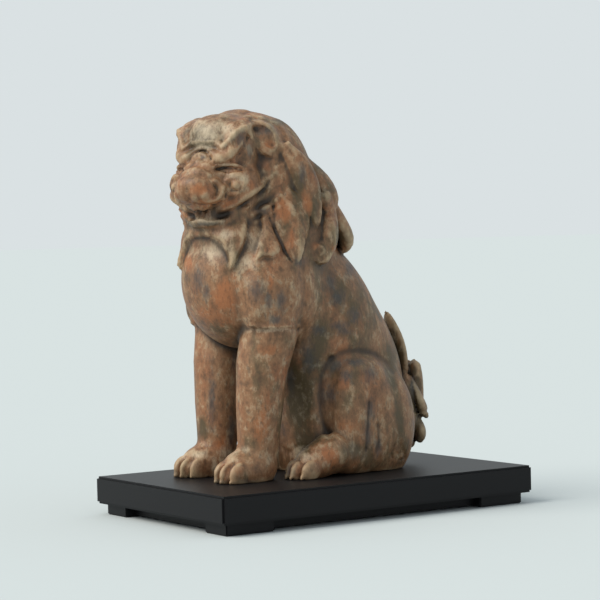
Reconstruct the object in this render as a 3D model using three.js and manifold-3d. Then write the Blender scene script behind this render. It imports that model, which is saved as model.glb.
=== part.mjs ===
// A seated guardian lion on a low black plinth, in millimetres.
// Z is up, the lion looks along -Y, its left side is +X and the plinth's underside is at z = 0.
import * as THREE from 'three';
import { mergeVertices } from 'three/addons/utils/BufferGeometryUtils.js';
import Module from 'manifold-3d';

// Driving dimensions
const plinthSize = {
  width: 54,
  depth: 83,
  slab: 6.1,
  foot: 2.5,
  edge: 0.5,
  inset: 1.8,
  footLong: 12,
  footShort: 8.5,
  footThick: 6,
  skirtInset: 4.2,
  skirtThick: 3,
  skirtLift: 0.4
};
const standOn = plinthSize.slab + plinthSize.foot;
const lionShift = -2;
const chestAt = { y: -15.8, z: 52.5 };
const legAt = { x: 8.75, y: -19.8 };
const headAt = { y: -21.2, z: 76, turn: 27 };
const ruffAt = { y: -17, z: 60, turn: 10 };
const maneMiddle = new THREE.Vector3(0, -8, 66);

// Grid that the lion's skin is first drawn on, then thinned to the budget, with more kept on the head
const gridStep = 1;
const gridBox = { x: [-22, 19], y: [-39, 35], z: [standOn - 0.6, 92] };
const triangleBudget = 9600;
const headKeep = 5;
const headFrom = 54;
const farAway = 50;
const reachOfBlend = 1.2;

// Finishes
const finishes = {
  wood: new THREE.MeshStandardMaterial({ color: 0x8a6148, roughness: 0.6, metalness: 0 }),
  lacquer: new THREE.MeshStandardMaterial({ color: 0x17181a, roughness: 0.45, metalness: 0 })
};

// A place to work in: the middle line of the body, or the turned head or ruff
function makeFrame(x, y, z, turnDegrees) {
  const turn = THREE.MathUtils.degToRad(turnDegrees);
  return { x, y, z, cos: Math.cos(turn), sin: Math.sin(turn) };
}

const body = makeFrame(lionShift, 0, 0, 0);
const head = makeFrame(lionShift, headAt.y, headAt.z, headAt.turn);
const ruff = makeFrame(lionShift, ruffAt.y, ruffAt.z, ruffAt.turn);

// Round form with three half sizes, tilted about X where tilt is given
function ball(x, y, z, rx, ry, rz, tilt = 0) {
  const angle = THREE.MathUtils.degToRad(tilt);
  const c = Math.cos(angle);
  const s = Math.sin(angle);
  const reach = [rx, Math.hypot(c * ry, s * rz), Math.hypot(s * ry, c * rz)];
  return {
    low: [x - reach[0], y - reach[1], z - reach[2]],
    high: [x + reach[0], y + reach[1], z + reach[2]],
    distance(px, py, pz) {
      const a = px - x;
      const b = c * (py - y) + s * (pz - z);
      const d = -s * (py - y) + c * (pz - z);
      const near = Math.hypot(a / rx, b / ry, d / rz);
      const slope = Math.hypot(a / (rx * rx), b / (ry * ry), d / (rz * rz));
      return near * (near - 1) / Math.max(slope, 1e-6);
    }
  };
}

// Cushion form, between a ball and a box
function block(x, y, z, rx, ry, rz, power) {
  const least = Math.min(rx, ry, rz);
  return {
    low: [x - rx, y - ry, z - rz],
    high: [x + rx, y + ry, z + rz],
    distance(px, py, pz) {
      const sum = Math.abs((px - x) / rx) ** power
        + Math.abs((py - y) / ry) ** power
        + Math.abs((pz - z) / rz) ** power;
      return (sum ** (1 / power) - 1) * least;
    }
  };
}

// Tapering limb through a chain of [x, y, z, radius]
function limb(chain) {
  const low = [0, 1, 2].map((k) => Math.min(...chain.map((p) => p[k] - p[3])));
  const high = [0, 1, 2].map((k) => Math.max(...chain.map((p) => p[k] + p[3])));
  return {
    low,
    high,
    distance(px, py, pz) {
      let best = farAway;
      for (let i = 1; i < chain.length; i += 1) {
        const [ax, ay, az, ar] = chain[i - 1];
        const [bx, by, bz, br] = chain[i];
        const ex = bx - ax;
        const ey = by - ay;
        const ez = bz - az;
        const along = ((px - ax) * ex + (py - ay) * ey + (pz - az) * ez) / (ex * ex + ey * ey + ez * ez);
        const t = THREE.MathUtils.clamp(along, 0, 1);
        const gap = Math.hypot(px - ax - t * ex, py - ay - t * ey, pz - az - t * ez);
        best = Math.min(best, gap - ar - t * (br - ar));
      }
      return best;
    }
  };
}

// Leaf-shaped lock of hair along a curve, width across and thick outwards, coming to a point
function lock(points, width, thick, outward, { root = 0.9, belly = 0.4, point = 1.6 } = {}) {
  const curve = new THREE.CatmullRomCurve3(points.map((p) => new THREE.Vector3(...p)), false, 'catmullrom', 0.5);
  const count = 10;
  const places = curve.getPoints(count);
  const stations = places.map((place, i) => {
    const along = i / count;
    const ahead = places[Math.min(i + 1, count)].clone().sub(places[Math.max(i - 1, 0)]).normalize();
    const up = outward(place).addScaledVector(ahead, -outward(place).dot(ahead)).normalize();
    const swell = along < belly ? root + (1 - root) * Math.sin(Math.PI / 2 * along / belly) : 1;
    const past = Math.max(0, (along - belly) / (1 - belly));
    const taper = Math.max((1 - past ** point) ** 0.8, 0.02);
    return {
      place,
      up,
      side: ahead.clone().cross(up),
      width: width * swell * taper,
      thick: thick * swell * Math.max(taper, 0.05) ** 0.6
    };
  });
  const reach = Math.max(width, thick);
  const axes = ['x', 'y', 'z'];
  const offset = new THREE.Vector3();
  const step = new THREE.Vector3();
  return {
    low: axes.map((k) => Math.min(...places.map((p) => p[k])) - reach),
    high: axes.map((k) => Math.max(...places.map((p) => p[k])) + reach),
    distance(px, py, pz) {
      let best = farAway;
      for (let i = 1; i < stations.length; i += 1) {
        const a = stations[i - 1];
        const b = stations[i];
        step.subVectors(b.place, a.place);
        offset.set(px, py, pz).sub(a.place);
        const t = THREE.MathUtils.clamp(offset.dot(step) / step.lengthSq(), 0, 1);
        offset.addScaledVector(step, -t);
        const across = THREE.MathUtils.lerp(offset.dot(a.side), offset.dot(b.side), t);
        const out = THREE.MathUtils.lerp(offset.dot(a.up), offset.dot(b.up), t);
        const rest = Math.sqrt(Math.max(offset.lengthSq() - across * across - out * out, 0));
        const w = THREE.MathUtils.lerp(a.width, b.width, t);
        const h = THREE.MathUtils.lerp(a.thick, b.thick, t);
        const near = Math.hypot(across / w, out / h, rest / h);
        const slope = Math.hypot(across / (w * w), out / (h * h), rest / (h * h));
        const gap = Math.max(near * (near - 1) / Math.max(slope, 1e-6), -Math.min(w, h));
        best = Math.min(best, gap);
      }
      return best;
    }
  };
}

const forms = [];

// Puts a form on the lion, melted in over the blend distance, on both sides where paired
function add(frame, blend, shape, paired = false) {
  forms.push({ frame, blend, shape, paired, cut: false });
}

function carve(frame, blend, shape, paired = false) {
  forms.push({ frame, blend, shape, paired, cut: true });
}

function pair(frame, blend, shape) {
  add(frame, blend, shape, true);
}

function carvePair(frame, blend, shape) {
  carve(frame, blend, shape, true);
}

// Outward directions for locks that lie on the mane, on the ruff and on the rump
function fromMane(place) {
  const out = place.clone().sub(maneMiddle);
  out.z *= 0.35;
  return out.normalize();
}

function fromRuff(place) {
  return new THREE.Vector3(place.x, place.y, place.z * 0.25).normalize();
}

function facing(x, y, z) {
  return () => new THREE.Vector3(x, y, z).normalize();
}

function shapeTorso() {
  add(body, 0, ball(0, chestAt.y, chestAt.z, 14.2, 14.6, 15.5));
  add(body, 5, ball(0, -0.6, 42, 13.5, 15.6, 27, 27));
  add(body, 6, ball(0, 8.6, 21, 14, 13.4, 17));
  add(body, 4, block(0, 3, 19, 12.5, 9, 17, 3));
  pair(body, 5, ball(9.2, -13.5, 50, 6, 9, 10.5));
}

function shapeForelegs() {
  const { x, y } = legAt;
  const leg = [
    [x + 0.85, y + 3.6, 41.5, 6.3],
    [x + 0.25, y + 1.8, 34, 5.7],
    [x + 0.05, y + 0.8, 25, 5.0],
    [x, y, 17, 4.3],
    [x, y - 0.2, 12.5, 4.0]
  ];
  pair(body, 1, limb(leg));
  pair(body, 1.5, ball(x, y - 1.8, 11.4, 4.8, 6.2, 4.8));
  for (const [across, ahead] of [[-3.3, -6.1], [-1.15, -7.6], [1.15, -7.7], [3.3, -6.3]]) {
    pair(body, 0.6, ball(x + across, y + ahead, 11, 1.45, 2.7, 2.8, 18));
  }
}

function shapeHaunches() {
  pair(body, 1.8, ball(10.8, 4.6, 23.2, 5.8, 8, 12.6));
  pair(body, 2.5, ball(9.2, 12.6, 18.5, 7, 9.6, 13.5));
  carvePair(body, 1.2, limb([[17.6, 6.6, 28, 0.8], [17.4, 5.6, 22, 1.1], [17, 5.6, 16, 1]]));
}

function shapeHindFeet() {
  const foot = { x: 12.8, toes: -12.1 };
  pair(body, 1.2, limb([[12, 5, 11.5, 3.2], [foot.x, -3, 13.7, 4.7], [foot.x, -8, 11.8, 4]]));
  for (const [across, back] of [[-3.2, 1.7], [-1.1, 0.1], [1.1, -0.1], [3.3, 1.3]]) {
    pair(body, 0.6, ball(foot.x + across, foot.toes + back, 11.2, 1.5, 2.6, 2.8, 18));
  }
}

function shapeTail() {
  const upright = { root: 0.9, belly: 0.5 };
  add(body, 0.4, lock([[0, 26, 29], [0, 24.8, 36], [0, 22.4, 43.8]], 3.4, 1.5, facing(0, 1, 0.5), upright));
  add(body, 1.5, ball(0, 24.5, 20.5, 6.5, 4.6, 9.5));
  pair(body, 0.4, lock([[0.6, 28.4, 13], [1.6, 29.6, 22], [1.8, 29, 32]], 2.6, 2, facing(0.2, 1, 0),
    { root: 0.8, belly: 0.55, point: 3 }));
  pair(body, 0.4, lock([[2, 26.5, 27], [4.6, 28, 21], [5.2, 30, 17]], 2.6, 1.8, facing(0.4, 1, 0), upright));
  pair(body, 0.4, lock([[1, 27, 20], [3.6, 28.5, 14.5], [4.5, 28, 12.2]], 2.8, 2, facing(0.3, 1, 0),
    { root: 0.9, belly: 0.6, point: 3 }));
}

function shapeManeCore() {
  add(body, 2, ball(0, -11, 71.5, 12, 12.3, 15.8));
  add(body, 3, ball(0, -7.5, 62, 13.4, 13, 12));
  add(ruff, 1.5, ball(0, -2.2, 1.5, 11, 9.4, 6.5));
}

// The head's own places run x to its left, y backwards and z up from its middle
function shapeSkull() {
  add(head, 1.5, block(0, 0.5, 1, 8.6, 9, 12, 2.5));
  add(head, 1, block(0, -0.6, 8.2, 7.9, 9.4, 5.6, 3));
  add(head, 1.5, ball(0, 6, 4.4, 10.8, 8.8, 9.9));
  pair(head, 1.2, ball(7.8, -3, -2.4, 3.2, 4.8, 3.8));
  pair(head, 1.5, ball(5.4, -1.5, -7.6, 4.4, 6, 4.4));
}

function shapeMouth() {
  add(head, 0.8, block(0, -5.6, -10.5, 5, 5.7, 2, 2.6));
  add(head, 1, block(0, -8, -5.2, 6.7, 6.4, 3.1, 2.3));
  add(head, 1, ball(0, -9.8, -2.4, 4.2, 4.6, 3.6));
  const gape = [[0, -14.4, -9.2, 0.9], [4, -12.8, -9.3, 1.1], [6.8, -9, -8.5, 1.2], [9, -5.4, -5.8, 1.1],
    [10.8, -2.4, -2.2, 0.8]];
  carvePair(head, 0.4, limb(gape));
  const upperLip = [[0, -13.9, -7.5, 0.9], [3.2, -13.2, -7.6, 1], [5.8, -10.8, -7.6, 1.1], [7.9, -7.6, -6.2, 1.1],
    [9.8, -4.4, -3.6, 1], [10.8, -1.8, -0.6, 0.8]];
  pair(head, 0.6, limb(upperLip));
  const lowerLip = [[0, -11.4, -10.5, 0.9], [3.2, -10.6, -10.7, 1], [5.8, -7.2, -10.2, 0.9], [8.2, -3.4, -7.8, 0.8]];
  pair(head, 0.5, limb(lowerLip));
}

function shapeNose() {
  add(head, 0.8, ball(0, -12.4, -3.2, 4, 4, 3.3));
  pair(head, 0.5, ball(3.4, -12.8, -4.7, 2.3, 2.6, 2.1));
  carve(head, 0.6, limb([[0, -17, -4.2, 0.5], [0, -16.6, -7, 0.7]]));
  carvePair(head, 0.4, limb([[6.2, -12.4, -2.6, 0.6], [6.4, -12, -4.8, 0.6], [5.2, -13.8, -6.8, 0.6]]));
  pair(head, 0.6, ball(6.9, -7.6, -3.2, 1.7, 1.8, 1.7));
}

function shapeEyesAndBrows() {
  carvePair(head, 0.5, ball(5.9, -8.6, 0.9, 2.8, 2, 1.7));
  pair(head, 0.3, ball(5.8, -6.9, 0.6, 2.1, 1.6, 1.4));
  pair(head, 0.8, limb([[1.2, -9.5, 5, 1.3], [3.4, -9.3, 4.5, 1.8], [5.2, -7.9, 4.8, 1.8], [6.7, -5.7, 6.6, 1.5],
    [7.7, -3.4, 9, 1]]));
  carve(head, 0.4, limb([[0, -11.6, 2.4, 0.7], [0, -11.6, 4.4, 0.6]]));
  pair(head, 0.6, limb([[0, -10, 7, 0.6], [3.2, -9.6, 7, 0.6], [4.8, -8.5, 7.7, 0.6], [6.5, -6.7, 9.7, 0.6],
    [7.6, -4.1, 11.6, 0.5]]));
}

function shapeEars() {
  const earFace = facing(0.55, -0.72, 0.42);
  pair(head, 0.6, lock([[6.6, -0.6, 10.2], [10, 0.2, 8.2], [13.4, 1.6, 4.2]], 3.3, 2, earFace,
    { root: 0.75, belly: 0.5, point: 2.2 }));
  carvePair(head, 0.4, lock([[8, -2.4, 9.6], [10.6, -1.7, 7.6], [12.6, -0.6, 5.2]], 2.1, 1.5, earFace,
    { root: 0.7, belly: 0.5, point: 2 }));
}

// Locks of the mane, from the middle of the back forward to the cheek, each [curve, width, thickness, taper]
function shapeManeLocks() {
  const blunt = { root: 0.8, belly: 0.7, point: 3 };
  const leaf = { root: 0.9, belly: 0.4 };
  add(body, 0.4, lock([[0, 1.2, 76], [0, 5, 68], [0, 7.8, 61], [0, 7.7, 57.5]], 4, 2, fromMane, blunt));
  const sideLocks = [
    [[[5, 0.4, 74], [5.5, 4, 67.4], [5.9, 6.8, 61.4], [5.5, 6.4, 58.3]], 3.8, 2, blunt],
    [[[10, -2.6, 71.5], [11.3, -1.4, 67.1], [12, -1.4, 62], [12, -2.6, 57.3]], 3.4, 1.9, blunt],
    [[[7.4, -7.6, 81.6], [8.8, -4.4, 77.2], [9.5, -1, 72.3], [9.2, 0.4, 68.4]], 3, 1.8, leaf],
    [[[9.6, -12.5, 76], [11.6, -12, 71], [12.4, -11.8, 66], [12.2, -11, 62]], 2.6, 1.5, leaf],
    [[[11.5, -14.8, 68.6], [12.5, -13.7, 64.4], [13, -12.6, 59.8], [13, -11.2, 55.2]], 2.9, 1.7, leaf],
    [[[9.8, -11.5, 80.6], [12, -9.9, 76.4], [13, -9, 70.8], [13, -8, 66.9], [12.8, -6.8, 63.4]], 3.2, 2.1, leaf]
  ];
  for (const [points, width, thick, taper] of sideLocks) {
    pair(body, 0.4, lock(points, width, thick, fromMane, taper));
  }
}

function shapeRuffLocks() {
  const pointed = { root: 1, belly: 0.3 };
  pair(ruff, 0.3, lock([[6.2, -9, 5.5], [7.6, -10, 0.5], [8.2, -10.4, -5.2]], 3, 1.5, fromRuff, pointed));
  pair(ruff, 0.3, lock([[10.2, -6, 5], [11.6, -6.6, 0.5], [12.1, -6.8, -4]], 2.6, 1.5, fromRuff, pointed));
  pair(ruff, 0.3, lock([[2.4, -11, 4.5], [5, -11, 2], [7, -10.8, -1]], 2, 1.3, fromRuff, pointed));
}

// Distance from a point to the lion's skin, negative inside the wood
function skinDistance(x, y, z) {
  let skin = farAway;
  for (const { frame, blend, shape, paired, cut } of forms) {
    const dx = x - frame.x;
    const dy = y - frame.y;
    const turned = frame.cos * dx + frame.sin * dy;
    const px = paired ? Math.abs(turned) : turned;
    const py = -frame.sin * dx + frame.cos * dy;
    const pz = z - frame.z;
    const margin = blend * reachOfBlend + 1;
    const { low, high } = shape;
    const outside = px < low[0] - margin || px > high[0] + margin || py < low[1] - margin
      || py > high[1] + margin || pz < low[2] - margin || pz > high[2] + margin;
    if (outside && skin < farAway) continue;
    const near = shape.distance(px, py, pz) * (cut ? -1 : 1);
    const melt = blend > 0 ? Math.max(blend - Math.abs(skin - near), 0) ** 2 / (4 * blend) : 0;
    skin = cut ? Math.max(skin, near) + melt : Math.min(skin, near) - melt;
  }
  return Math.max(skin, standOn - z);
}

// Evenly spaced grid line places across the box
function lineUp([start, end]) {
  const count = Math.ceil((end - start) / gridStep);
  return Array.from({ length: count + 1 }, (_, k) => start + k * gridStep);
}

const corners = [];
for (let k = 0; k < 8; k += 1) corners.push([k & 1, (k >> 1) & 1, (k >> 2) & 1]);
const cornerPairs = [];
for (let a = 0; a < 8; a += 1) {
  for (const bit of [1, 2, 4]) {
    if (!(a & bit)) cornerPairs.push([a, a | bit]);
  }
}

// True where a cell's corners of one side, inside or outside, hang together along its edges
function hangsTogether(mask) {
  if (mask === 0) return true;
  let reached = mask & -mask;
  for (let pass = 0; pass < 8; pass += 1) {
    for (const [a, b] of cornerPairs) {
      const both = (1 << a) | (1 << b);
      if ((mask & both) === both && (reached & both)) reached |= both;
    }
  }
  return reached === mask;
}

// The distance field on the grid, with cells that would pinch the skin filled and crumbs removed
function sampleField(xs, ys, zs) {
  const [nx, ny, nz] = [xs.length, ys.length, zs.length];
  const at = (i, j, k) => (k * ny + j) * nx + i;
  const field = new Float64Array(nx * ny * nz);
  for (let k = 0; k < nz; k += 1) {
    for (let j = 0; j < ny; j += 1) {
      for (let i = 0; i < nx; i += 1) field[at(i, j, k)] = skinDistance(xs[i], ys[j], zs[k]);
    }
  }
  const steps = [1, -1, nx, -nx, nx * ny, -nx * ny];
  const spread = (seed, wanted) => {
    const seen = new Uint8Array(field.length);
    const queue = [seed];
    seen[seed] = 1;
    while (queue.length > 0) {
      const here = queue.pop();
      for (const step of steps) {
        const next = here + step;
        if (next < 0 || next >= field.length || seen[next] || !wanted(field[next])) continue;
        seen[next] = 1;
        queue.push(next);
      }
    }
    return seen;
  };
  const tiny = 0.01;
  const middle = at(
    xs.findIndex((x) => x > lionShift),
    ys.findIndex((y) => y > chestAt.y),
    zs.findIndex((z) => z > chestAt.z)
  );
  const wood = spread(middle, (value) => value < 0);
  for (let n = 0; n < field.length; n += 1) {
    if (field[n] < 0 && !wood[n]) field[n] = tiny;
  }
  for (let changed = true; changed;) {
    changed = false;
    for (let k = 0; k + 1 < nz; k += 1) {
      for (let j = 0; j + 1 < ny; j += 1) {
        for (let i = 0; i + 1 < nx; i += 1) {
          const places = corners.map(([a, b, c]) => at(i + a, j + b, k + c));
          const mask = places.reduce((sum, place, n) => sum | (field[place] < 0 ? 1 << n : 0), 0);
          if (hangsTogether(mask) && hangsTogether(255 ^ mask)) continue;
          const outer = places.filter((place) => field[place] >= 0 && place >= nx * ny);
          const nearest = outer.reduce((best, place) => (field[place] < field[best] ? place : best));
          field[nearest] = -tiny;
          changed = true;
        }
      }
    }
  }
  const air = spread(0, (value) => value >= 0);
  for (let n = 0; n < field.length; n += 1) {
    if (field[n] >= 0 && !air[n]) field[n] = -tiny;
  }
  return { field, at, nx, ny, nz };
}

// Moves a point onto the skin along the field's slope, by less than one cell
function settle(point, limit) {
  const probe = 0.05;
  for (let round = 0; round < 3; round += 1) {
    const { x, y, z } = point;
    const value = skinDistance(x, y, z);
    const slope = new THREE.Vector3(
      skinDistance(x + probe, y, z) - skinDistance(x - probe, y, z),
      skinDistance(x, y + probe, z) - skinDistance(x, y - probe, z),
      skinDistance(x, y, z + probe) - skinDistance(x, y, z - probe)
    ).divideScalar(2 * probe);
    const steep = Math.max(slope.lengthSq(), 0.25);
    point.addScaledVector(slope, -THREE.MathUtils.clamp(value / steep, -limit, limit));
  }
}

// The lion's skin as one closed mesh: a vertex in each cell that the skin crosses, a quad for each grid edge
function carveLion() {
  const xs = lineUp(gridBox.x);
  const ys = lineUp(gridBox.y);
  const zs = lineUp(gridBox.z);
  const { field, at, nx, ny, nz } = sampleField(xs, ys, zs);
  const vertices = [];
  const vertexOf = new Int32Array(field.length).fill(-1);
  for (let k = 0; k + 1 < nz; k += 1) {
    for (let j = 0; j + 1 < ny; j += 1) {
      for (let i = 0; i + 1 < nx; i += 1) {
        const values = corners.map(([a, b, c]) => field[at(i + a, j + b, k + c)]);
        const point = new THREE.Vector3();
        let crossings = 0;
        for (const [a, b] of cornerPairs) {
          if ((values[a] < 0) === (values[b] < 0)) continue;
          const t = values[a] / (values[a] - values[b]);
          point.x += THREE.MathUtils.lerp(xs[i + corners[a][0]], xs[i + corners[b][0]], t);
          point.y += THREE.MathUtils.lerp(ys[j + corners[a][1]], ys[j + corners[b][1]], t);
          point.z += THREE.MathUtils.lerp(zs[k + corners[a][2]], zs[k + corners[b][2]], t);
          crossings += 1;
        }
        if (crossings === 0) continue;
        point.divideScalar(crossings);
        if (k === 0) {
          point.z = standOn;
        } else {
          settle(point, 0.25 * gridStep);
          point.z = Math.max(point.z, standOn);
        }
        vertexOf[at(i, j, k)] = vertices.length / 3;
        vertices.push(point.x, point.y, point.z);
      }
    }
  }
  const faces = [];
  const strides = [at(1, 0, 0), at(0, 1, 0), at(0, 0, 1)];
  for (let k = 1; k + 1 < nz; k += 1) {
    for (let j = 1; j + 1 < ny; j += 1) {
      for (let i = 1; i + 1 < nx; i += 1) addQuads(at(i, j, k));
    }
  }
  for (let j = 1; j + 1 < ny; j += 1) {
    for (let i = 1; i + 1 < nx; i += 1) addQuad(at(i, j, 0), 2);
  }

  function addQuad(here, axis) {
    const inside = field[here] < 0;
    if (inside === (field[here + strides[axis]] < 0)) return;
    const u = strides[(axis + 1) % 3];
    const v = strides[(axis + 2) % 3];
    const ring = [here - u - v, here - v, here, here - u].map((cell) => vertexOf[cell]);
    if (!inside) ring.reverse();
    splitQuad(ring);
  }

  function addQuads(here) {
    for (let axis = 0; axis < 3; axis += 1) addQuad(here, axis);
  }

  // Cuts a quad along its shorter diagonal, which keeps folds crisp
  function splitQuad([a, b, c, d]) {
    const span = (p, q) => Math.hypot(
      vertices[3 * p] - vertices[3 * q],
      vertices[3 * p + 1] - vertices[3 * q + 1],
      vertices[3 * p + 2] - vertices[3 * q + 2]
    );
    if (span(a, c) <= span(b, d)) faces.push(a, b, c, a, c, d);
    else faces.push(a, b, d, b, c, d);
  }

  const thinned = thinSkin(vertices, faces);
  const geometry = new THREE.BufferGeometry();
  geometry.setAttribute('position', new THREE.Float32BufferAttribute(thinned.vertices, 3));
  geometry.setIndex(thinned.faces);
  geometry.computeVertexNormals();
  return geometry;
}

// Heap of items with the lowest cost on top
function makeHeap() {
  const items = [];
  const swap = (a, b) => {
    [items[a], items[b]] = [items[b], items[a]];
  };
  return {
    push(item) {
      items.push(item);
      let at = items.length - 1;
      while (at > 0 && items[at].cost < items[(at - 1) >> 1].cost) {
        swap(at, (at - 1) >> 1);
        at = (at - 1) >> 1;
      }
    },
    pop() {
      const top = items[0];
      const last = items.pop();
      if (items.length === 0) return top;
      items[0] = last;
      for (let at = 0; ;) {
        let least = at;
        if (2 * at + 1 < items.length && items[2 * at + 1].cost < items[least].cost) least = 2 * at + 1;
        if (2 * at + 2 < items.length && items[2 * at + 2].cost < items[least].cost) least = 2 * at + 2;
        if (least === at) return top;
        swap(at, least);
        at = least;
      }
    },
    get size() {
      return items.length;
    }
  };
}

// Thins the skin to the budget: the edge whose loss moves the surface least is closed up first
function thinSkin(vertices, faces) {
  const points = [];
  for (let n = 0; n < vertices.length; n += 3) points.push(new THREE.Vector3().fromArray(vertices, n));
  const triangles = [];
  for (let n = 0; n < faces.length; n += 3) triangles.push([faces[n], faces[n + 1], faces[n + 2]]);
  const around = points.map(() => new Set());
  const quadrics = points.map(() => new Float64Array(10));
  const stamp = new Int32Array(points.length);
  const normalOf = ([a, b, c]) => points[b].clone().sub(points[a]).cross(points[c].clone().sub(points[a]));
  triangles.forEach((triangle, id) => {
    const normal = normalOf(triangle);
    const area = normal.length() || 1e-9;
    normal.divideScalar(area);
    const weight = area * (points[triangle[0]].z > headFrom ? headKeep : 1);
    const plane = [normal.x, normal.y, normal.z, -normal.dot(points[triangle[0]])];
    for (const corner of triangle) {
      around[corner].add(id);
      let slot = 0;
      for (let r = 0; r < 4; r += 1) {
        for (let c = r; c < 4; c += 1) {
          quadrics[corner][slot] += weight * plane[r] * plane[c];
          slot += 1;
        }
      }
    }
  });
  const strayOf = (q, p) => q[0] * p.x * p.x + 2 * q[1] * p.x * p.y + 2 * q[2] * p.x * p.z + 2 * q[3] * p.x
    + q[4] * p.y * p.y + 2 * q[5] * p.y * p.z + 2 * q[6] * p.y + q[7] * p.z * p.z + 2 * q[8] * p.z + q[9];
  const neighbours = (v) => {
    const found = new Set();
    for (const id of around[v]) triangles[id].forEach((corner) => found.add(corner));
    found.delete(v);
    return found;
  };
  const heap = makeHeap();
  const consider = (a, b) => {
    const sum = quadrics[a].map((value, n) => value + quadrics[b][n]);
    const grounded = [a, b].filter((v) => points[v].z <= standOn + 1e-6);
    let spots = [points[a], points[b], points[a].clone().lerp(points[b], 0.5)];
    if (grounded.length === 1) {
      spots = [points[grounded[0]]];
    } else if (grounded.length === 0) {
      const square = new THREE.Matrix3().set(sum[0], sum[1], sum[2], sum[1], sum[4], sum[5], sum[2], sum[5], sum[7]);
      const size = sum[0] + sum[4] + sum[7];
      if (Math.abs(square.determinant()) > 1e-4 * size ** 3) {
        const best = new THREE.Vector3(-sum[3], -sum[6], -sum[8]).applyMatrix3(square.invert());
        if (best.distanceTo(spots[2]) < points[a].distanceTo(points[b])) spots.push(best);
      }
    }
    const costs = spots.map((spot) => strayOf(sum, spot));
    const pick = costs.indexOf(Math.min(...costs));
    const cost = costs[pick] + 1e-5 * points[a].distanceToSquared(points[b]);
    heap.push({ cost, a, b, spot: spots[pick].clone(), sum, stampA: stamp[a], stampB: stamp[b] });
  };
  points.forEach((_, a) => {
    for (const b of neighbours(a)) if (a < b) consider(a, b);
  });
  const folds = (v, other, spot) => {
    for (const id of around[v]) {
      const triangle = triangles[id];
      if (triangle.includes(other)) continue;
      const before = normalOf(triangle);
      const kept = points[v].clone();
      points[v].copy(spot);
      const after = normalOf(triangle);
      const longest = Math.max(...triangle.map((p, n) => points[p].distanceToSquared(points[triangle[(n + 1) % 3]])));
      points[v].copy(kept);
      if (before.dot(after) < 0.4 * before.length() * after.length()) return true;
      if (after.length() < 0.06 * longest) return true;
    }
    return false;
  };
  let left = triangles.length;
  while (left > triangleBudget && heap.size > 0) {
    const { a, b, spot, sum, stampA, stampB } = heap.pop();
    if (stamp[a] !== stampA || stamp[b] !== stampB) continue;
    const nearA = neighbours(a);
    const shared = [...neighbours(b)].filter((v) => nearA.has(v));
    if (shared.length !== 2 || folds(a, b, spot) || folds(b, a, spot)) continue;
    for (const id of [...around[b]]) {
      const triangle = triangles[id];
      if (triangle.includes(a)) {
        triangle.forEach((corner) => around[corner].delete(id));
        triangles[id] = null;
        left -= 1;
      } else {
        triangle[triangle.indexOf(b)] = a;
        around[a].add(id);
      }
    }
    around[b].clear();
    points[a].copy(spot);
    quadrics[a] = sum;
    stamp[b] = -1;
    stamp[a] += 1;
    for (const c of neighbours(a)) consider(a, c);
  }
  const kept = triangles.filter((triangle) => triangle !== null);
  const rename = new Map();
  kept.flat().forEach((corner) => {
    if (!rename.has(corner)) rename.set(corner, rename.size);
  });
  return {
    vertices: [...rename.keys()].flatMap((corner) => points[corner].toArray()),
    faces: kept.flat().map((corner) => rename.get(corner))
  };
}

// Joins closed three.js geometries into one
async function makeJoiner() {
  const wasm = await Module();
  wasm.setup();
  const toSolid = (geometry) => {
    const bare = geometry.clone();
    bare.deleteAttribute('normal');
    bare.deleteAttribute('uv');
    const merged = mergeVertices(bare, 1e-4);
    return new wasm.Manifold(new wasm.Mesh({
      numProp: 3,
      vertProperties: Float32Array.from(merged.attributes.position.array),
      triVerts: Uint32Array.from(merged.index.array)
    }));
  };
  return (geometries) => {
    const mesh = geometries.map(toSolid).reduce((whole, piece) => whole.add(piece)).getMesh();
    const geometry = new THREE.BufferGeometry();
    geometry.setAttribute('position', new THREE.BufferAttribute(Float32Array.from(mesh.vertProperties), 3));
    geometry.setIndex(Array.from(mesh.triVerts));
    geometry.computeVertexNormals();
    return geometry;
  };
}

function rectangle(x0, y0, x1, y1) {
  const shape = new THREE.Shape();
  shape.moveTo(x0, y0);
  shape.lineTo(x1, y0);
  shape.lineTo(x1, y1);
  shape.lineTo(x0, y1);
  shape.closePath();
  return shape;
}

// Slab with softened edges, four corner feet shaped like an L and a skirt set back between them
function shapePlinth(join) {
  const size = plinthSize;
  const halfX = size.width / 2;
  const halfY = size.depth / 2;
  const bite = 0.3;
  const slab = new THREE.ExtrudeGeometry(
    rectangle(-halfX + size.edge, -halfY + size.edge, halfX - size.edge, halfY - size.edge),
    { depth: size.slab - 2 * size.edge, bevelThickness: size.edge, bevelSize: size.edge, bevelSegments: 3 }
  ).translate(0, 0, size.foot + size.edge);

  const footX = halfX - size.inset;
  const footY = halfY - size.inset;
  const pieces = [slab];
  for (const sideX of [-1, 1]) {
    for (const sideY of [-1, 1]) {
      const foot = new THREE.Shape();
      const place = (x, y) => [sideX * (footX - x), sideY * (footY - y)];
      foot.moveTo(...place(0, 0));
      foot.lineTo(...place(size.footShort, 0));
      foot.lineTo(...place(size.footShort, size.footThick));
      foot.lineTo(...place(size.footThick, size.footThick));
      foot.lineTo(...place(size.footThick, size.footLong));
      foot.lineTo(...place(0, size.footLong));
      foot.closePath();
      pieces.push(new THREE.ExtrudeGeometry(foot, { depth: size.foot + bite, bevelEnabled: false }));
    }
  }
  const skirtX = halfX - size.skirtInset;
  const skirtY = halfY - size.skirtInset;
  const skirt = rectangle(-skirtX, -skirtY, skirtX, skirtY);
  const innerX = skirtX - size.skirtThick;
  const innerY = skirtY - size.skirtThick;
  skirt.holes.push(rectangle(-innerX, -innerY, innerX, innerY));
  pieces.push(
    new THREE.ExtrudeGeometry(skirt, { depth: size.foot + bite - size.skirtLift, bevelEnabled: false })
      .translate(0, 0, size.skirtLift)
  );
  return join(pieces);
}

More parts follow.
